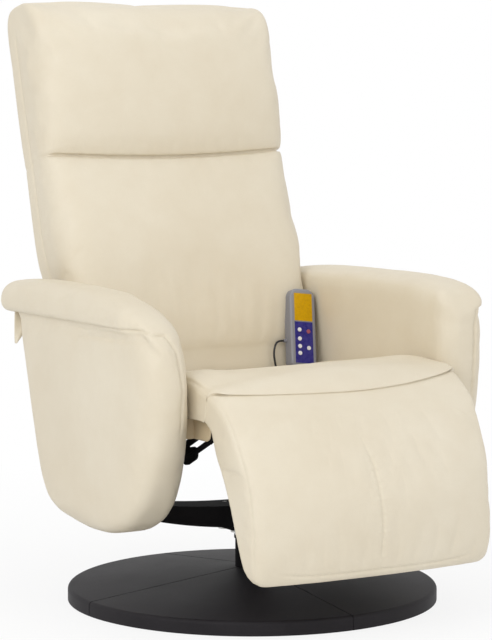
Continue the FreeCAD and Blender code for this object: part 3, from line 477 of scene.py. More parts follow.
view = {"from": (-2.52861, -4.17894, 1.01458), "azimuth": -31.044, "drop": 5.9386, "lens": 153.33,
        "sensor": 36.0}
camera = bpy.data.objects.new("camera", bpy.data.cameras.new("camera"))
scene.collection.objects.link(camera)
camera.location = view["from"]
camera.rotation_euler = (math.radians(90 - view["drop"]), 0, math.radians(view["azimuth"]))
camera.data.sensor_fit = "VERTICAL"
camera.data.sensor_height = view["sensor"]
camera.data.lens = view["lens"]
scene.camera = camera

# the cord runs from the handset's gland into the gap behind the seat
cordLine = {"radius": 0.002, "length": 0.1326, "points": [
    (0.17235, 0.17076, 0.44275), (0.16250, 0.17090, 0.44330), (0.1522, 0.1672, 0.4385),
    (0.1466, 0.1645, 0.4220), (0.1482, 0.1628, 0.4050), (0.1515, 0.1620, 0.3880),
    (0.1535, 0.1620, 0.3690), (0.1530, 0.1620, 0.3500), (0.1518, 0.1620, 0.3290)]}
cordCurve = bpy.data.curves.new("handset_cord_line", "CURVE")
cordCurve.dimensions = "3D"
cordCurve.bevel_depth = cordLine["radius"]
cordCurve.bevel_resolution = 5
cordCurve.resolution_u = 16
spline = cordCurve.splines.new("NURBS")
spline.points.add(len(cordLine["points"]) - 1)
for point, spot in zip(spline.points, cordLine["points"]):
    point.co = (*spot, 1)
spline.order_u = 3
spline.use_endpoint_u = True
cord = bpy.data.objects.new("handset_cord_line", cordCurve)
scene.collection.objects.link(cord)
dress(cord, "cord_black", "handset", "handset_cord")
print("cord laid")

# backrest: one upholstered body, its head part folded over the lower part
back = {
    "pivot": (0.25, 0.385), "tilt": 15.0, "around": 210, "along": 170,
    # level, half width, front at the sides, front in the middle, rear
    "rows": [
        (-0.066, 0.190, 0.030, 0.036, 0.000), (-0.052, 0.202, 0.054, 0.060, 0.006),
        (-0.020, 0.205, 0.074, 0.079, 0.008), (0.016, 0.205, 0.077, 0.083, 0.010),
        (0.029, 0.214, 0.076, 0.085, 0.016), (0.040, 0.243, 0.075, 0.088, 0.038),
        (0.056, 0.2480, 0.077, 0.090, 0.046), (0.100, 0.2485, 0.081, 0.094, 0.048),
        (0.180, 0.2488, 0.0815, 0.095, 0.048), (0.225, 0.2565, 0.0775, 0.093, 0.048),
        (0.275, 0.2602, 0.0705, 0.088, 0.048), (0.340, 0.2608, 0.0610, 0.080, 0.047),
        (0.380, 0.2610, 0.0568, 0.075, 0.046), (0.394, 0.2609, 0.0556, 0.0733, 0.046),
        (0.4005, 0.2605, 0.0535, 0.0705, 0.046), (0.4035, 0.2600, 0.0512, 0.0675, 0.046),
        (0.4065, 0.2606, 0.0538, 0.0716, 0.046), (0.4115, 0.2614, 0.0565, 0.0757, 0.046),
        (0.424, 0.2618, 0.0597, 0.0800, 0.046), (0.450, 0.2622, 0.0640, 0.0850, 0.047),
        (0.520, 0.2625, 0.0725, 0.0930, 0.047), (0.600, 0.2624, 0.0730, 0.0930, 0.046),
        (0.650, 0.2620, 0.0695, 0.0890, 0.045), (0.682, 0.2608, 0.0605, 0.0790, 0.042),
        (0.700, 0.2580, 0.0470, 0.0640, 0.036), (0.709, 0.2535, 0.0320, 0.0450, 0.028),
        (0.7135, 0.2465, 0.0170, 0.0260, 0.016)],
    "edge": [(0.05, 0.020), (0.19, 0.020), (0.28, 0.034), (0.60, 0.034), (0.70, 0.020)],  # corner radius by level
    "fold": 0.4035, "foldNear": 0.06, "bow": 0.014, "side": -0.008, "lean": 0.0035,
    "foldRun": (-0.249, 0.259), "sideRun": (0.06, 0.665),
    "foldSeam": {"depth": 0.0046, "width": 0.0024, "spread": 0.016, "pucker": 0.0012, "pitch": 0.085, "seed": 2,
                 "fade": 0.01},
    "sideSeam": {"depth": 0.0022, "width": 0.003, "spread": 0.010, "pucker": 0.0006, "pitch": 0.05},
    "fill": {"pressure": 3.0, "stretch": 14.0, "bend": 1.2, "slack": -0.01, "steps": 20, "cap": 0.010,
             "creases": 0.35},
}


def backPlace(across, ahead, level):
    turn = math.radians(back["tilt"])
    y0, z0 = back["pivot"]
    return np.stack([across, y0 + level * math.sin(turn) - ahead * math.cos(turn),
                     z0 + level * math.cos(turn) + ahead * math.sin(turn)], axis=-1)


def foldLevel(across, ahead, level):  # the fold hangs lower in the middle than at the sides
    near = math.exp(-((level - back["fold"]) / back["foldNear"]) ** 2)
    return level + back["bow"] * ((across / 0.258) ** 2 - 0.2) * near * np.clip((ahead + 0.03) / 0.06, 0, 1)


def makeBack():
    rows = curveThrough(back["rows"], back["along"])
    rings = []
    for level, half, front, middle, rear in rows:
        edge = min(np.interp(level, *np.array(back["edge"]).T), (front + rear) * 0.42)
        ring = padSection(half, front, middle, rear, edge, edge * 0.62, 0.006, back["around"])
        lean = back["lean"] * (1 + ring[:, 0] / half) * np.clip((level - 0.60) / 0.1, 0, 1)
        rings.append(backPlace(ring[:, 0], ring[:, 1], foldLevel(ring[:, 0], ring[:, 1], level) - lean))
    piece = loftPiece("back_upholstery", rings)
    local = toBack(places(piece))
    ahead, level = local[:, 1], local[:, 2]
    held = np.clip((0.012 - ahead) / 0.02, 0, 1)
    rest = level - foldLevel(local[:, 0], ahead, back["fold"])
    held = np.maximum(held, np.exp(-(rest / 0.007) ** 2) * (ahead > 0.0))
    held = np.maximum(held, np.clip((0.05 - level) / 0.03, 0, 1))
    piece = swollen(piece, back["fill"], held)
    piece = divided(piece)
    across = np.linspace(*back["foldRun"], 110)
    clear = np.full(110, 0.2)  # well in front of the pad
    fold = backPlace(across, clear, foldLevel(across, clear, back["fold"]))
    fold = ontoPiece(piece, fold, backPlace(0, 0, 0) - backPlace(0, 1, 0))
    piece = sewn(piece, fold, back["foldSeam"])
    for side in (-1, 1):
        line = backPlace(np.full(80, side * 0.3), np.full(80, back["side"]), np.linspace(*back["sideRun"], 80))
        line = onSurface(piece, ontoPiece(piece, line, (-side, 0, 0)))
        piece = sewn(piece, line, {**back["sideSeam"], "seed": 5 + side})
    dress(piece, "cream_leather", "backrest", "back_cushion", "head_cushion", "back_shell")


def toBack(points):
    turn = math.radians(back["tilt"])
    y0, z0 = back["pivot"]
    y, z = points[:, 1] - y0, points[:, 2] - z0
    return np.stack([points[:, 0], -y * math.cos(turn) + z * math.sin(turn),
                     y * math.sin(turn) + z * math.cos(turn)], axis=-1)


makeBack()
print("backrest done")

# seat and footrest share the round knee
knee = {"y": -0.258, "z": 0.350, "half": 0.2445, "edge": (0.066, 0.084), "middle": 0.092,
        "corner": (0.012, 0.007), "wider": 0.0042}


def kneeRadius(across):  # circle arc over the width, as the knee roll is crowned
    rise = knee["middle"] - np.where(np.asarray(across) > 0, knee["edge"][1], knee["edge"][0])
    big = (knee["half"] ** 2 + rise ** 2) / (2 * rise)
    return knee["middle"] - (big - np.sqrt(big ** 2 - np.clip(np.abs(across), 0, knee["half"]) ** 2))


def kneeCorner(across):  # how far the knee's rounded ends fall away
    right = np.asarray(across) > 0
    corner = np.where(right, knee["corner"][1], knee["corner"][0])
    past = np.clip(np.abs(across) - knee["half"] - right * knee["wider"] + corner, 0, corner)
    return corner - np.sqrt(corner ** 2 - past ** 2)


def kneeWiden(u):  # the right end reaches a little further out
    return knee["wider"] * np.clip(u, 0, 1) ** 6


def kneePlace(across, angle, reach):
    turn = np.radians(angle)
    return np.stack([across, knee["y"] - reach * np.cos(turn), knee["z"] + reach * np.sin(turn)], axis=-1)


seat = {
    "half": 0.2455, "rear": 0.1565, "floor": 0.3690, "lip": 0.0030, "lipRoot": 0.0055, "lipTip": 0.0012,
    "gap": 0.0010, "across": 90, "along": 84, "side": 8, "crown": 0.002, "round": 0.015, "puff": 0.006,
    "hang": (0.3655, 0.3690), "panel": 0.0008, "panelOut": 0.0004, "panelBow": 0.0006,
    # lip end angle round the knee by share of the half width
    "lipEnd": [(-1, 97.0), (-0.97, 81.0), (-0.93, 68.5), (-0.81, 58.2), (-0.66, 51.0), (-0.51, 46.8),
               (-0.32, 43.4), (-0.11, 41.4), (0.11, 41.4), (0.32, 43.6), (0.51, 47.2), (0.66, 52.0),
               (0.82, 59.0), (0.93, 67.0), (1, 79.0)],
    # where the top is sewn to the sides: along and level
    "sideSeam": [(0.10, 0.400), (0.0, 0.415), (-0.10, 0.428), (-0.19, 0.4345), (-0.235, 0.4305),
                 (-0.2565, 0.4228), (-0.2731, 0.4111)],
    "seam": {"depth": 0.0020, "width": 0.0026, "spread": 0.010, "pucker": 0.0006, "pitch": 0.04, "fade": 0.05,
             "ends": 0.3},
    # along and level of the top's middle
    "top": [(-0.258, 0.4460), (-0.20, 0.4435), (-0.12, 0.4300), (-0.02, 0.4150), (0.05, 0.4055),
            (0.1565, 0.3940)],
    "fill": {"pressure": 2.5, "stretch": 14.0, "bend": 1.0, "slack": -0.01, "steps": 16, "cap": 0.005,
             "creases": 0.4},
}


def makeSeat():
    # rows run from the rear over the top and on round the knee to the sewn lip
    count = seat["across"]
    even = np.linspace(-1, 1, count)
    u = 0.45 * np.sin(even * math.pi / 2) + 0.55 * even
    across = u * seat["half"] + kneeWiden(u)
    over = kneeRadius(across) - kneeCorner(across) + seat["gap"]
    lipEnd = np.interp(u, *np.array(seat["lipEnd"]).T)
    lipEnd = np.convolve(np.pad(lipEnd, 2, "edge"), np.full(5, 0.2), "valid")
    inset = np.clip((1 - np.abs(u)) * seat["half"] / seat["round"], 0, 1)
    roundOff = seat["round"] * (1 - np.sqrt(np.clip(1 - (1 - inset) ** 2, 0, 1)))
    flat = int(seat["along"] * 0.7)
    rows = np.array(seat["top"])
    levels = curveThrough(rows[::-1], flat + 1)
    loops = []

    def ring(top, under, hang):  # the sides hang past the underside as thin panels over the knee's ends
        sides = []
        for end, way in ((0, -1), (-1, 1)):
            low = min(hang, under[end][2] - seat["panelOut"])
            outer = top[end] * (1, 0, 0) + (way * seat["panelOut"], under[end][1], low)
            inner = outer - (way * seat["panel"], 0, 0)
            root = np.array([inner[0], under[end][1], under[end][2]])
            wall = np.linspace(outer, top[end], seat["side"] + 2)[:-1]
            wall[:, 0] += way * seat["panelBow"] * np.sin(np.linspace(0, math.pi, seat["side"] + 2))[:-1]
            sides.append(np.vstack([root, inner, wall]))
        loops.append(np.vstack([sides[0], top, sides[1][::-1], under[::-1]]))

    for y, middle in levels[:-1]:
        ahead = np.clip((seat["rear"] - y) / 0.024, 0, 1)
        tuck = 0.016 * (1 - math.sqrt(1 - (1 - ahead) ** 2))
        puff = seat["puff"] * np.exp(-((np.abs(u) - 0.8) / 0.18) ** 2) * np.clip((0.13 - y) / 0.08, 0, 1)
        top = middle - seat["crown"] * np.abs(u) ** 2.2 + puff - roundOff * 0.62 - tuck
        close = np.clip((knee["y"] + 0.09 - y) / 0.09, 0, 1)
        close = close * close * (3 - 2 * close)
        top = top * (1 - close) + (knee["z"] + over + seat["lipRoot"]) * close
        near = y - knee["y"]
        reach = over + 0.0006
        cave = np.where(near < reach, knee["z"] + np.sqrt(np.clip(reach ** 2 - near ** 2, 0, None)), 0)
        under = np.minimum(np.maximum(seat["floor"], cave), top - 0.003)
        here = np.full(count, y)
        hang = np.interp(y, [knee["y"], knee["y"] + 0.022], seat["hang"])
        ring(np.column_stack([across, here, top]), np.column_stack([across, here, under]), hang)
    turns = seat["along"] - flat
    for k in range(turns):
        part = k / (turns - 1)
        angle = 90 + (lipEnd - 90) * part
        thick = seat["lip"] + (seat["lipRoot"] - seat["lip"]) * (1 - part) ** 1.5
        if k == turns - 1:
            thick = seat["lipTip"]
        ring(kneePlace(across, angle, over + thick), kneePlace(across, angle, over), 1.0)
    piece = loftPiece("seat_cover", loops, 1)
    points = places(piece)
    top = np.interp(points[:, 1], rows[:, 0], rows[:, 1])
    top -= seat["crown"] * np.abs(points[:, 0] / seat["half"]) ** 2.2
    held = np.clip((top - 0.010 - points[:, 2]) / 0.010, 0, 1)
    held = np.maximum(held, np.clip((-0.20 - points[:, 1]) / 0.03, 0, 1))
    held = np.maximum(held, np.clip((points[:, 1] - 0.12) / 0.02, 0, 1))
    piece = swollen(piece, seat["fill"], held)
    piece = divided(piece)
    for side in (-1, 1):
        run = curveThrough(seat["sideSeam"], 90)
        line = onSurface(piece, np.column_stack([np.full(90, side * seat["half"]), run]))
        piece = sewn(piece, line, {**seat["seam"], "seed": 3 + side})
    dress(piece, "cream_leather", "chassis", "seat_cushion")


footrest = {
    "around": 170, "along": 110, "skin": 0.0008, "voxel": 0.0046,
    # angle round the knee, inner, side and middle reach, more reach at the right end
    "knee": [(98, 0.052, 0.066, 0.092, 0.0175), (86, 0.049, 0.066, 0.092, 0.0175),
             (64, 0.042, 0.0655, 0.092, 0.0180), (44, 0.030, 0.066, 0.0935, 0.0190),
             (26, 0.018, 0.0725, 0.1005, 0.0180), (10, 0.010, 0.0815, 0.1085, 0.014)],
    # level, rear, side and middle front, half width, more front at the right end
    "rows": [(0.318, -0.279, -0.368, -0.4015, 0.2445, 0.010),
             (0.284, -0.299, -0.3855, -0.4175, 0.2445, 0.005),
             (0.243, -0.321, -0.3975, -0.4280, 0.2445, 0), (0.200, -0.339, -0.4035, -0.4310, 0.2445, 0),
             (0.168, -0.352, -0.4045, -0.4305, 0.2445, 0), (0.146, -0.361, -0.4040, -0.4285, 0.2438, 0),
             (0.128, -0.369, -0.4025, -0.4250, 0.2405, 0), (0.116, -0.377, -0.4000, -0.4200, 0.2335, 0),
             (0.1085, -0.388, -0.3975, -0.4130, 0.2220, 0)],
    # round side cheeks of the knee: lower rear outline, and their span across
    "cheekRear": [(-0.300, 0.296), (-0.288, 0.318), (-0.279, 0.336), (-0.271, 0.3505), (-0.257, 0.3630),
                  (-0.236, 0.3725), (-0.2080, 0.3760)],
    "cheek": (0.2338, 0.2455), "cheekRound": 0.0055, "cheekReach": 0.0655,
    "cheekArc": [(96, 0.065), (84, 0.062), (72, 0.061), (60, 0.061), (48, 0.062), (34, 0.066), (20, 0.073),
                 (8, 0.0795)],
    # sewn lines: down the middle by level and across, along the hem, and round the ends
    "middle": [(0.11, -0.004), (0.20, -0.004), (0.30, -0.010), (0.36, -0.026)], "middleRun": (0.355, 0.116),
    "middleSeam": {"depth": 0.0022, "width": 0.0028, "spread": 0.014, "pucker": 0.0010, "pitch": 0.045, "seed": 4,
                   "fade": 0.06},
    "hem": 0.1215, "hemHalf": 0.205,
    "hemSeam": {"depth": 0.0018, "width": 0.0026, "spread": 0.008, "pucker": 0.0006, "pitch": 0.03, "seed": 7,
                "fade": 0.04},
    "endKnee": [(58, 0.061), (44, 0.062), (26, 0.0685), (10, 0.0775)], "endIn": 0.0045,
    "endSeam": {"depth": 0.0013, "width": 0.0022, "fade": 0.03},
    "fill": {"pressure": 2.5, "stretch": 14.0, "bend": 1.2, "slack": -0.008, "steps": 16, "cap": 0.006,
             "creases": 0.45},
}


def footCheek(side):
    arc = [kneePlace(0, angle, footrest["cheekReach"])[1:] for angle in (148, 140, 131, 121, 110)]
    arc += [kneePlace(0, angle, reach)[1:] for angle, reach in footrest["cheekArc"]]
    loop = np.array(list(footrest["cheekRear"]) + arc + [(-0.362, 0.318), (-0.372, 0.296)])
    loop = relaxed(evenRing(loop, 120), 6)
    low, high = footrest["cheek"]
    centre = loop.mean(0)
    rings = []
    for turn in np.linspace(-90, 90, 11):
        inset = footrest["cheekRound"] * (1 - math.cos(math.radians(turn)))
        flat = loop + (centre - loop) * inset / np.linalg.norm(loop - centre, axis=1, keepdims=True)
        x = (low + high) / 2 + (high - low) / 2 * math.sin(math.radians(turn))
        rings.append(np.column_stack([np.full(len(flat), side * x), flat]))
    return loftPiece("cheek", rings, 5)


def makeFootrest():
    table = []
    for angle, inner, side, middle, more in footrest["knee"]:
        spots = [kneePlace(0, angle, reach - (footrest["skin"] if angle > 40 else 0))[1:]
                 for reach in (inner, side, middle)]
        table.append((*spots[0], *spots[1], *spots[2], knee["half"], knee["corner"][0], more))
    for level, rear, side, middle, half, more in footrest["rows"]:
        table.append((rear, level, side, level, middle, level, half, 0.017, more))
    rings = []
    for ry, rz, sy, sz, my, mz, half, edge, more in curveThrough(table, footrest["along"]):
        root = np.array([ry, rz])
        way = np.array([sy, sz]) - root
        front = np.linalg.norm(way)
        way /= front
        middle = np.linalg.norm(np.array([my, mz]) - root)
        edge = min(edge, front * 0.45)
        ring = padSection(half, front, middle, 0.0, edge, edge * 0.3, 0.0, footrest["around"])
        u = np.clip(ring[:, 0] / half, 0, 1)
        ring[:, 1] += more * u ** 2.5 * np.clip(ring[:, 1] / front, 0, 1)
        ring[:, 0] += kneeWiden(u) * min(more / 0.0175, 1)
        spots = root + ring[:, 1:] * way
        rings.append(np.column_stack([ring[:, 0], spots]))
    piece = joinedPiece("footrest_cover", [loftPiece("pad", rings, 4), footCheek(-1), footCheek(1)])
    piece = voxelled(piece, footrest["voxel"])
    piece = eased(piece, 0.5, 3)
    points = places(piece)
    y, z = points[:, 1] - knee["y"], points[:, 2] - knee["z"]
    reach = np.hypot(y, z)
    turn = np.degrees(np.arctan2(z, -y))
    rearLine = np.interp(points[:, 2], [r[0] for r in reversed(footrest["rows"])],
                         [r[1] for r in reversed(footrest["rows"])])
    held = np.clip((points[:, 1] - rearLine + 0.028) / 0.016, 0, 1) * (points[:, 2] < 0.33)
    held = np.maximum(held, np.clip((turn - 8) / 26, 0, 1) * (points[:, 2] > 0.33))
    held = np.maximum(held, np.clip((0.128 - points[:, 2]) / 0.012, 0, 1))
    held = np.maximum(held, (reach < 0.05) * 1.0)
    piece = swollen(piece, footrest["fill"], held)
    piece = divided(piece)
    ahead = -0.60  # well in front of the footrest
    levels = np.linspace(*footrest["middleRun"], 70)
    middle = np.column_stack([np.interp(levels, *np.array(footrest["middle"]).T), np.full(70, ahead), levels])
    piece = sewn(piece, ontoPiece(piece, middle, (0, 1, 0)), footrest["middleSeam"])
    across = np.linspace(-footrest["hemHalf"], footrest["hemHalf"], 90)
    hem = np.column_stack([across, np.full(90, ahead), footrest["hem"] + 0.010 * (across / 0.2) ** 6])
    piece = sewn(piece, ontoPiece(piece, hem, (0, 1, 0)), footrest["hemSeam"])
    for side in (-1, 1):  # front panel sewn to the side strips
        inset = footrest["endIn"]
        rows = np.array([(r[2] + inset, r[0], r[4] - inset) for r in footrest["rows"][:-2]])
        lead = [(*kneePlace(0, angle, reach)[1:], knee["half"] - 0.004) for angle, reach in footrest["endKnee"]]
        line = curveThrough(np.vstack([lead, rows]), 90)
        ridge = onSurface(piece, np.column_stack([side * line[:, 2], line[:, 0], line[:, 1]]))
        piece = sewn(piece, ridge, footrest["endSeam"])
    dress(piece, "cream_leather", "footrest", "footrest_cushion")


# thin boards on the rails, in line with the seat box, in the cream leather darkened as painted shade
liner = {
    "inner": 0.2284, "outer": 0.2310, "edge": 0.0008, "drawn": 0.1, "around": 72,
    "outline": [(-0.186, 0.332), (-0.232, 0.332), (-0.243, 0.338), (-0.246, 0.350), (-0.244, 0.367), (-0.186, 0.371)],
}


def makeLiners():
    pieces = []
    for side in (-1, 1):
        loop = relaxed(evenRing(np.array(liner["outline"]), liner["around"]), 2)
        small = loop + (loop.mean(0) - loop) * liner["drawn"]
        inner, outer, edge = liner["inner"], liner["outer"], liner["edge"]
        rings = []
        for x, outline in ((inner, small), (inner + edge, loop), (outer - edge, loop), (outer, small)):
            rings.append(np.column_stack([np.full(liner["around"], side * x), outline]))
        pieces.append(loftPiece("liner", rings, 2))
    dress(joinedPiece("seat_box_liners", pieces), "tan_board", "chassis")


makeLiners()
makeSeat()
print("seat done")
makeFootrest()
print("footrest done")

# arms: a padded panel with a roll along its top
arm = {
    "inner": 0.2502, "outer": 0.3450, "around": 200, "crown": 0.0035, "voxel": 0.0050,
    # the outline's front corner, then the shared run down the front, under and up the rear
    "corner": {"left": [(0.10, 0.545), (-0.10, 0.548), (-0.150, 0.545), (-0.185, 0.537), (-0.208, 0.526),
                        (-0.225, 0.510), (-0.2365, 0.489), (-0.2430, 0.462)],
               "right": [(0.10, 0.552), (-0.12, 0.556), (-0.172, 0.556), (-0.205, 0.551), (-0.227, 0.541),
                         (-0.2395, 0.525), (-0.2455, 0.500), (-0.2460, 0.466)]},
    "outline": [(-0.2455, 0.430), (-0.2380, 0.365), (-0.2240, 0.306), (-0.2050, 0.258), (-0.1800, 0.217),
                (-0.1480, 0.187), (-0.1080, 0.167), (-0.0560, 0.157), (0.0000, 0.1555), (0.0500, 0.1600),
                (0.1040, 0.1710), (0.1440, 0.1920), (0.1690, 0.2280), (0.1890, 0.2800), (0.2130, 0.3580),
                (0.2350, 0.4340), (0.2520, 0.5000), (0.2540, 0.5450)],
    # rim radius by where the outline runs: front, bottom, rear
    "rims": (0.037, 0.028, 0.011),
    # the inner side's front rim: radius by level, its depth across, and the roll's length and draw in plan
    "inside": {"left": {"levels": (0.30, 0.36, 0.40, 0.45, 0.50), "rim": (0.040, 0.050, 0.062, 0.078, 0.084),
                        "deep": 0.047, "plan": (0.105, 0.056), "soft": 0.055, "flush": 1.0,
                        "outer": 0.040, "lift": 0.0},
               "right": {"levels": (0.30, 0.50), "rim": (0.034, 0.032), "deep": 0.034, "plan": (0.036, 0.034),
                         "soft": 0.0, "flush": 0.72, "outer": 0.030, "lift": 0.009}},
    # how far out the front seam runs, from low to high
    "seam": {"left": (0.281, 0.280, 0.291, 0.307), "right": (0.313, 0.314, 0.317, 0.322)},
    "rollSeam": {"depth": 0.0040, "width": 0.0030, "spread": 0.013, "pucker": 0.0010, "pitch": 0.07, "seed": 1,
                 "fade": 0.07},
    "second": {"depth": 0.0030, "width": 0.0042, "fade": 0.11},
    "pleats": {"left": 6, "right": 0}, "pleat": {"depth": 0.0020, "width": 0.0026, "fade": 0.02},
    "front": -0.2440, "rear": 0.3050, "bottom": 0.5160, "rollOuter": 0.3615, "steps": 90, "tail": 0.024,
    # the roll's top: along and level
    "top": {"left": [(-0.244, 0.486), (-0.233, 0.508), (-0.222, 0.521), (-0.205, 0.535), (-0.185, 0.5465),
                     (-0.15, 0.558), (-0.10, 0.567), (-0.045, 0.572), (0.03, 0.575), (0.12, 0.5765),
                     (0.20, 0.576), (0.305, 0.571)],
            "right": [(-0.244, 0.524), (-0.237, 0.5440), (-0.227, 0.5570), (-0.212, 0.5665), (-0.190, 0.5725),
                      (-0.15, 0.5775), (-0.10, 0.5800), (-0.02, 0.580), (0.10, 0.578), (0.20, 0.575),
                      (0.305, 0.570)]},
    "fill": {"pressure": 1.5, "stretch": 16.0, "bend": 1.5, "slack": -0.006, "steps": 12, "cap": 0.004,
             "creases": 0.4},
}


def armPanel(side):
    loop = evenRing(np.array(arm["corner"][side] + arm["outline"]), arm["around"] * 3)
    loop = evenRing(relaxed(loop, 24), arm["around"])  # takes the corners off
    centre = np.array([-0.01, 0.40])
    reach = np.linalg.norm(loop - centre, axis=1, keepdims=True)
    middle = (arm["inner"] + arm["outer"]) / 2
    thick = (arm["outer"] - arm["inner"]) / 2
    front, bottom, rear = arm["rims"]
    low = np.clip((0.30 - loop[:, 1]) / 0.10, 0, 1)
    back = np.clip((loop[:, 0] - 0.06) / 0.08, 0, 1)
    rim = front * (1 - low) * (1 - back) + bottom * low * (1 - back) + rear * back
    inside = arm["inside"][side]
    inRim = np.interp(loop[:, 1], inside["levels"], inside["rim"]) * (1 - low) * (1 - back)
    inRim += bottom * low * (1 - back) + rear * back
    inDeep = inside["deep"] * (1 - low) * (1 - back) + bottom * low * (1 - back) + rear * back
    rim, inRim, inDeep = (relaxed(run, 8) for run in (rim, inRim, inDeep))
    shares = (0.9, 0.7, 0.5, 0.35)
    sides = [(thick + arm["crown"] * min(1, (share - 0.27) * 2.2), reach * share) for share in shares]
    inner = [(thick, reach * share) for share in shares]
    for k in range(14):
        turn = math.pi / 2 * (1 - k / 13)
        fall, cut = 1 - math.sin(turn), 1 - math.cos(turn)
        sides.append((thick - np.minimum(rim, thick) * fall, rim[:, None] * cut))
        inner.append((thick - np.minimum(inDeep, thick) * fall, inRim[:, None] * cut))
    rings = []
    for way, rows in ((1, sides), (-1, reversed(inner))):
        for half, cut in rows:
            flat = centre + (loop - centre) * (1 - cut / reach)
            rings.append(np.column_stack([np.full(len(flat), middle) + way * half, flat]))
    return loftPiece("arm_panel", rings, 2)


def armRoll(side):
    rings = []
    spread = np.linspace(0, 1, arm["steps"])
    spread = 0.5 * spread + 0.5 * (1 - np.cos(spread * math.pi)) / 2
    tops = np.array(arm["top"][side])

    def drawn(distance, long):  # quarter-round drawing-in towards an end
        part = np.clip(1 - distance / long, 0, 0.985)
        return 1 - math.sqrt(1 - part ** 2)

    for y in arm["front"] + (arm["rear"] - arm["front"]) * spread:
        top = np.interp(y, tops[:, 0], tops[:, 1])
        tail = drawn(arm["rear"] - y, arm["tail"])
        top -= 0.018 * tail
        flush = np.clip((-0.150 - y) / 0.07, 0, 1)
        flush = flush * flush * (3 - 2 * flush)
        inside = arm["inside"][side]
        outer = arm["rollOuter"] + (arm["outer"] - 0.002 - arm["rollOuter"]) * flush * inside["flush"]
        outer -= inside["outer"] * drawn(y - arm["front"], inside["outer"]) + 0.016 * tail
        long, draw = inside["plan"]
        inner = arm["inner"] + draw * drawn(y - arm["front"], long) + 0.016 * tail
        soft = inside["soft"] * np.clip((-0.04 - y) / 0.14, 0, 1)
        low = min(arm["bottom"] + 0.014 * tail + (0.004 + inside["lift"]) * flush, top - 0.014)
        deep = low - 0.030 * (1 - tail) - soft
        tall = top - low
        corners = [(inner, deep), (inner, top), (outer, top), (outer, low),
                   ((inner + outer) / 2, low - 0.001)]
        wide = (outer - inner) * 0.42
        turnIn = min(0.036 + soft, wide + soft * 0.4, max(tall * 0.75, (top - deep) * 0.8 * (soft > 0)))
        radii = [0.004, turnIn, min(0.044, wide - soft * 0.3, tall * 0.7), min(0.022, tall * 0.35), 0.010]
        points = [softCorner(corners[i - 1], corners[i], corners[(i + 1) % 5], radii[i]) for i in range(5)]
        ring = evenRing(np.vstack(points), 120)
        rings.append(np.column_stack([ring[:, 0], np.full(120, y), ring[:, 1]]))
    return loftPiece("arm_roll", rings, 4)


def makeArm(side):
    piece = joinedPiece("arm_cover_" + side, [armPanel(side), armRoll(side)])
    piece = voxelled(piece, arm["voxel"])
    piece = eased(piece, 0.5, 5)
    points = places(piece)
    held = np.clip((0.262 - points[:, 0]) / 0.01, 0, 1)
    crease = np.exp(-((points[:, 2] - 0.517) / 0.007) ** 2) * (points[:, 0] > 0.33)
    piece = swollen(piece, arm["fill"], np.maximum(held, crease))
    piece = divided(piece)
    aside, ahead = 0.40, -0.40  # well outside and in front of the arm
    run = np.linspace(-0.236, 0.285, 110)
    lift = arm["inside"][side]["lift"]
    level = np.interp(run, [-0.236, -0.215, -0.1, 0.28], [0.5215 + lift, 0.5235 + lift, 0.5200, 0.5150])
    under = ontoPiece(piece, np.column_stack([np.full(110, aside), run, level]), (-1, 0, 0))
    levels = np.linspace(0.518 + lift, 0.33, 60)
    out = np.interp(levels, [0.33, 0.42, 0.49, 0.518], arm["seam"][side])
    front = ontoPiece(piece, np.column_stack([out, np.full(60, ahead), levels]), (0, 1, 0))
    piece = sewn(piece, np.vstack([under[::-1], front]), arm["rollSeam"])
    second = np.linspace((aside, -0.220, 0.5065), (aside, 0.06, 0.4970), 70)
    piece = sewn(piece, ontoPiece(piece, second, (-1, 0, 0)), arm["second"])
    corner = under[0]
    for k in range(arm["pleats"][side]):  # pleats fan out from the turn of the seam
        lean = 0.2 + 0.30 * k
        far = corner + np.array([-0.052 * math.sin(lean), 0.010, 0.034 * math.cos(lean) + 0.004])
        pleat = onSurface(piece, np.linspace(corner + (far - corner) * 0.12, far, 24))
        piece = sewn(piece, pleat, arm["pleat"])
    if side == "left":
        made = mirroredPiece(piece, "arm_cover_left_m")
        bpy.data.objects.remove(piece)
        piece = made
        piece.name = piece.data.name = "arm_cover_left"
    dress(piece, "cream_leather", "chassis", "arm_pad_" + side, "arm_roll_" + side)


for side in ("left", "right"):
    makeArm(side)
print("arms done")

# loose corners of the cover under the rolls' rear ends
flap = {"outer": 0.3445, "inner": 0.288, "top": 0.524, "tip": 0.4575, "y": 0.2645, "curl": 0.009,
        "thick": 0.0022, "tuck": 0.004, "wave": 0.002}


def makeFlaps():
    points, faces = [], []
    rows, columns = 14, 10
    for side in (-1, 1):
        for face in (0, 1):
            start = len(points)
            for r in range(rows + 1):
                down = r / rows
                z = flap["top"] + (flap["tip"] - flap["top"]) * down
                for c in range(columns + 1):
                    share = c / columns
                    wide = (flap["outer"] - flap["inner"]) * (1 - down * 0.97)
                    x = flap["outer"] - wide * share - flap["tuck"] * down ** 2
                    y = flap["y"] + flap["curl"] * down ** 2 * (1 - 0.6 * share)
                    y += flap["wave"] * math.sin(share * 4 + down * 3)
                    points.append((side * x, y + face * flap["thick"], z))
            for r in range(rows):
                for c in range(columns):
                    a = start + r * (columns + 1) + c
                    quad = (a, a + 1, a + columns + 2, a + columns + 1)
                    faces.append(quad if face else tuple(reversed(quad)))
        first, second = start - (rows + 1) * (columns + 1), start
        rim = [(0, c) for c in range(columns)] + [(r, columns) for r in range(rows)]
        rim += [(rows, c) for c in range(columns, 0, -1)] + [(r, 0) for r in range(rows, 0, -1)]
        for here, there in zip(rim, rim[1:] + rim[:1]):
            a = here[0] * (columns + 1) + here[1]
            b = there[0] * (columns + 1) + there[1]
            faces.append((first + a, first + b, second + b, second + a))
    piece = divided(outward(meshPiece("arm_flap_pair", points, faces)))
    dress(piece, "cream_leather", "chassis", "arm_flaps")


makeFlaps()
print("flaps done")


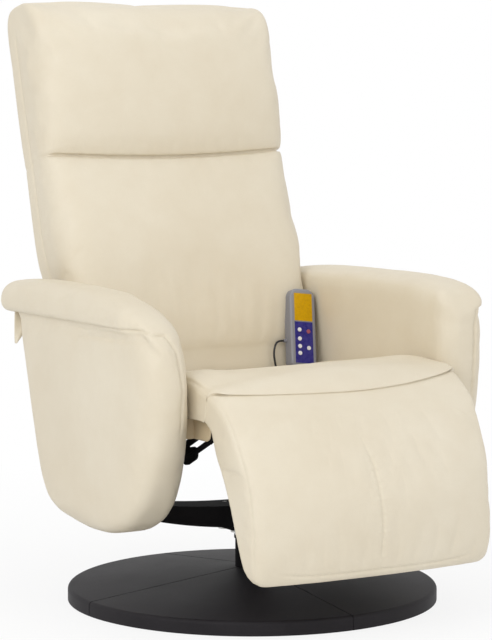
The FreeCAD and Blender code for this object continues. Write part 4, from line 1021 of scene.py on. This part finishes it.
def seenRays(tree):  # 1 for what the camera, a gloss or a clear piece sees
    path = tree.nodes.new("ShaderNodeLightPath")
    rays = [Wire(tree, path.outputs["Is " + kind + " Ray"]) for kind in ("Camera", "Glossy", "Transmission")]
    return rays[0] + rays[1] + rays[2]


studio = {
    "floor": 30.0, "floorColour": (0.93, 0.93, 0.93, 1), "glow": (0.45, 1.6, 0.84, 1.0), "sky": 0.62,
    "aim": (0, -0.05, 0.5),
    # name, place, size and power
    "lamps": [("key", (-3.0, -2.0, 2.4), 2.6, 62.0), ("fill", (2.0, -3.2, 2.2), 2.6, 26.0),
              ("top", (0.2, 0.4, 3.4), 2.0, 14.0)],
}


def makeStage():
    spot, surface, material = finish("floor_white", 0.9, Base_Color=studio["floorColour"])
    tree = material.node_tree
    ray = seenRays(tree)
    glow = spot.node("ShaderNodeEmission", {}, {"Color": (1, 1, 1, 1), "Strength": 1.0})
    body = Wire(tree, surface.outputs[0])
    away = spot.node("ShaderNodeVectorMath", {"operation": "LENGTH"}, {0: spot}, "Value")
    away = away.range(*studio["glow"])
    blend = spot.node("ShaderNodeMixShader", {}, {0: ray * away, 1: body, 2: glow})
    tree.links.new(blend.socket, tree.nodes["Material Output"].inputs["Surface"])
    wide = studio["floor"]
    corners = [(-wide, -wide, 0), (wide, -wide, 0), (wide, wide, 0), (-wide, wide, 0)]
    floor = meshPiece("floor", corners, [(0, 1, 2, 3)])
    floor.data.materials.append(material)

    world = bpy.data.worlds.new("studio")
    scene.world = world
    world.use_nodes = True
    sky = world.node_tree
    backdrop = sky.nodes["Background"]
    light = seenRays(sky).range(0.0, 1.0, studio["sky"], 1.0)
    sky.links.new(light.socket, backdrop.inputs["Strength"])
    backdrop.inputs["Color"].default_value = (1, 1, 1, 1)

    for name, spot, size, power in studio["lamps"]:
        lamp = bpy.data.lights.new(name, "AREA")
        lamp.energy, lamp.size = power, size
        holder = bpy.data.objects.new(name, lamp)
        scene.collection.objects.link(holder)
        holder.location = spot
        aim = Vector(studio["aim"]) - Vector(spot)
        holder.rotation_euler = aim.to_track_quat("-Z", "Y").to_euler()


makeStage()
scene.view_settings.view_transform = "Standard"
print("stage set")
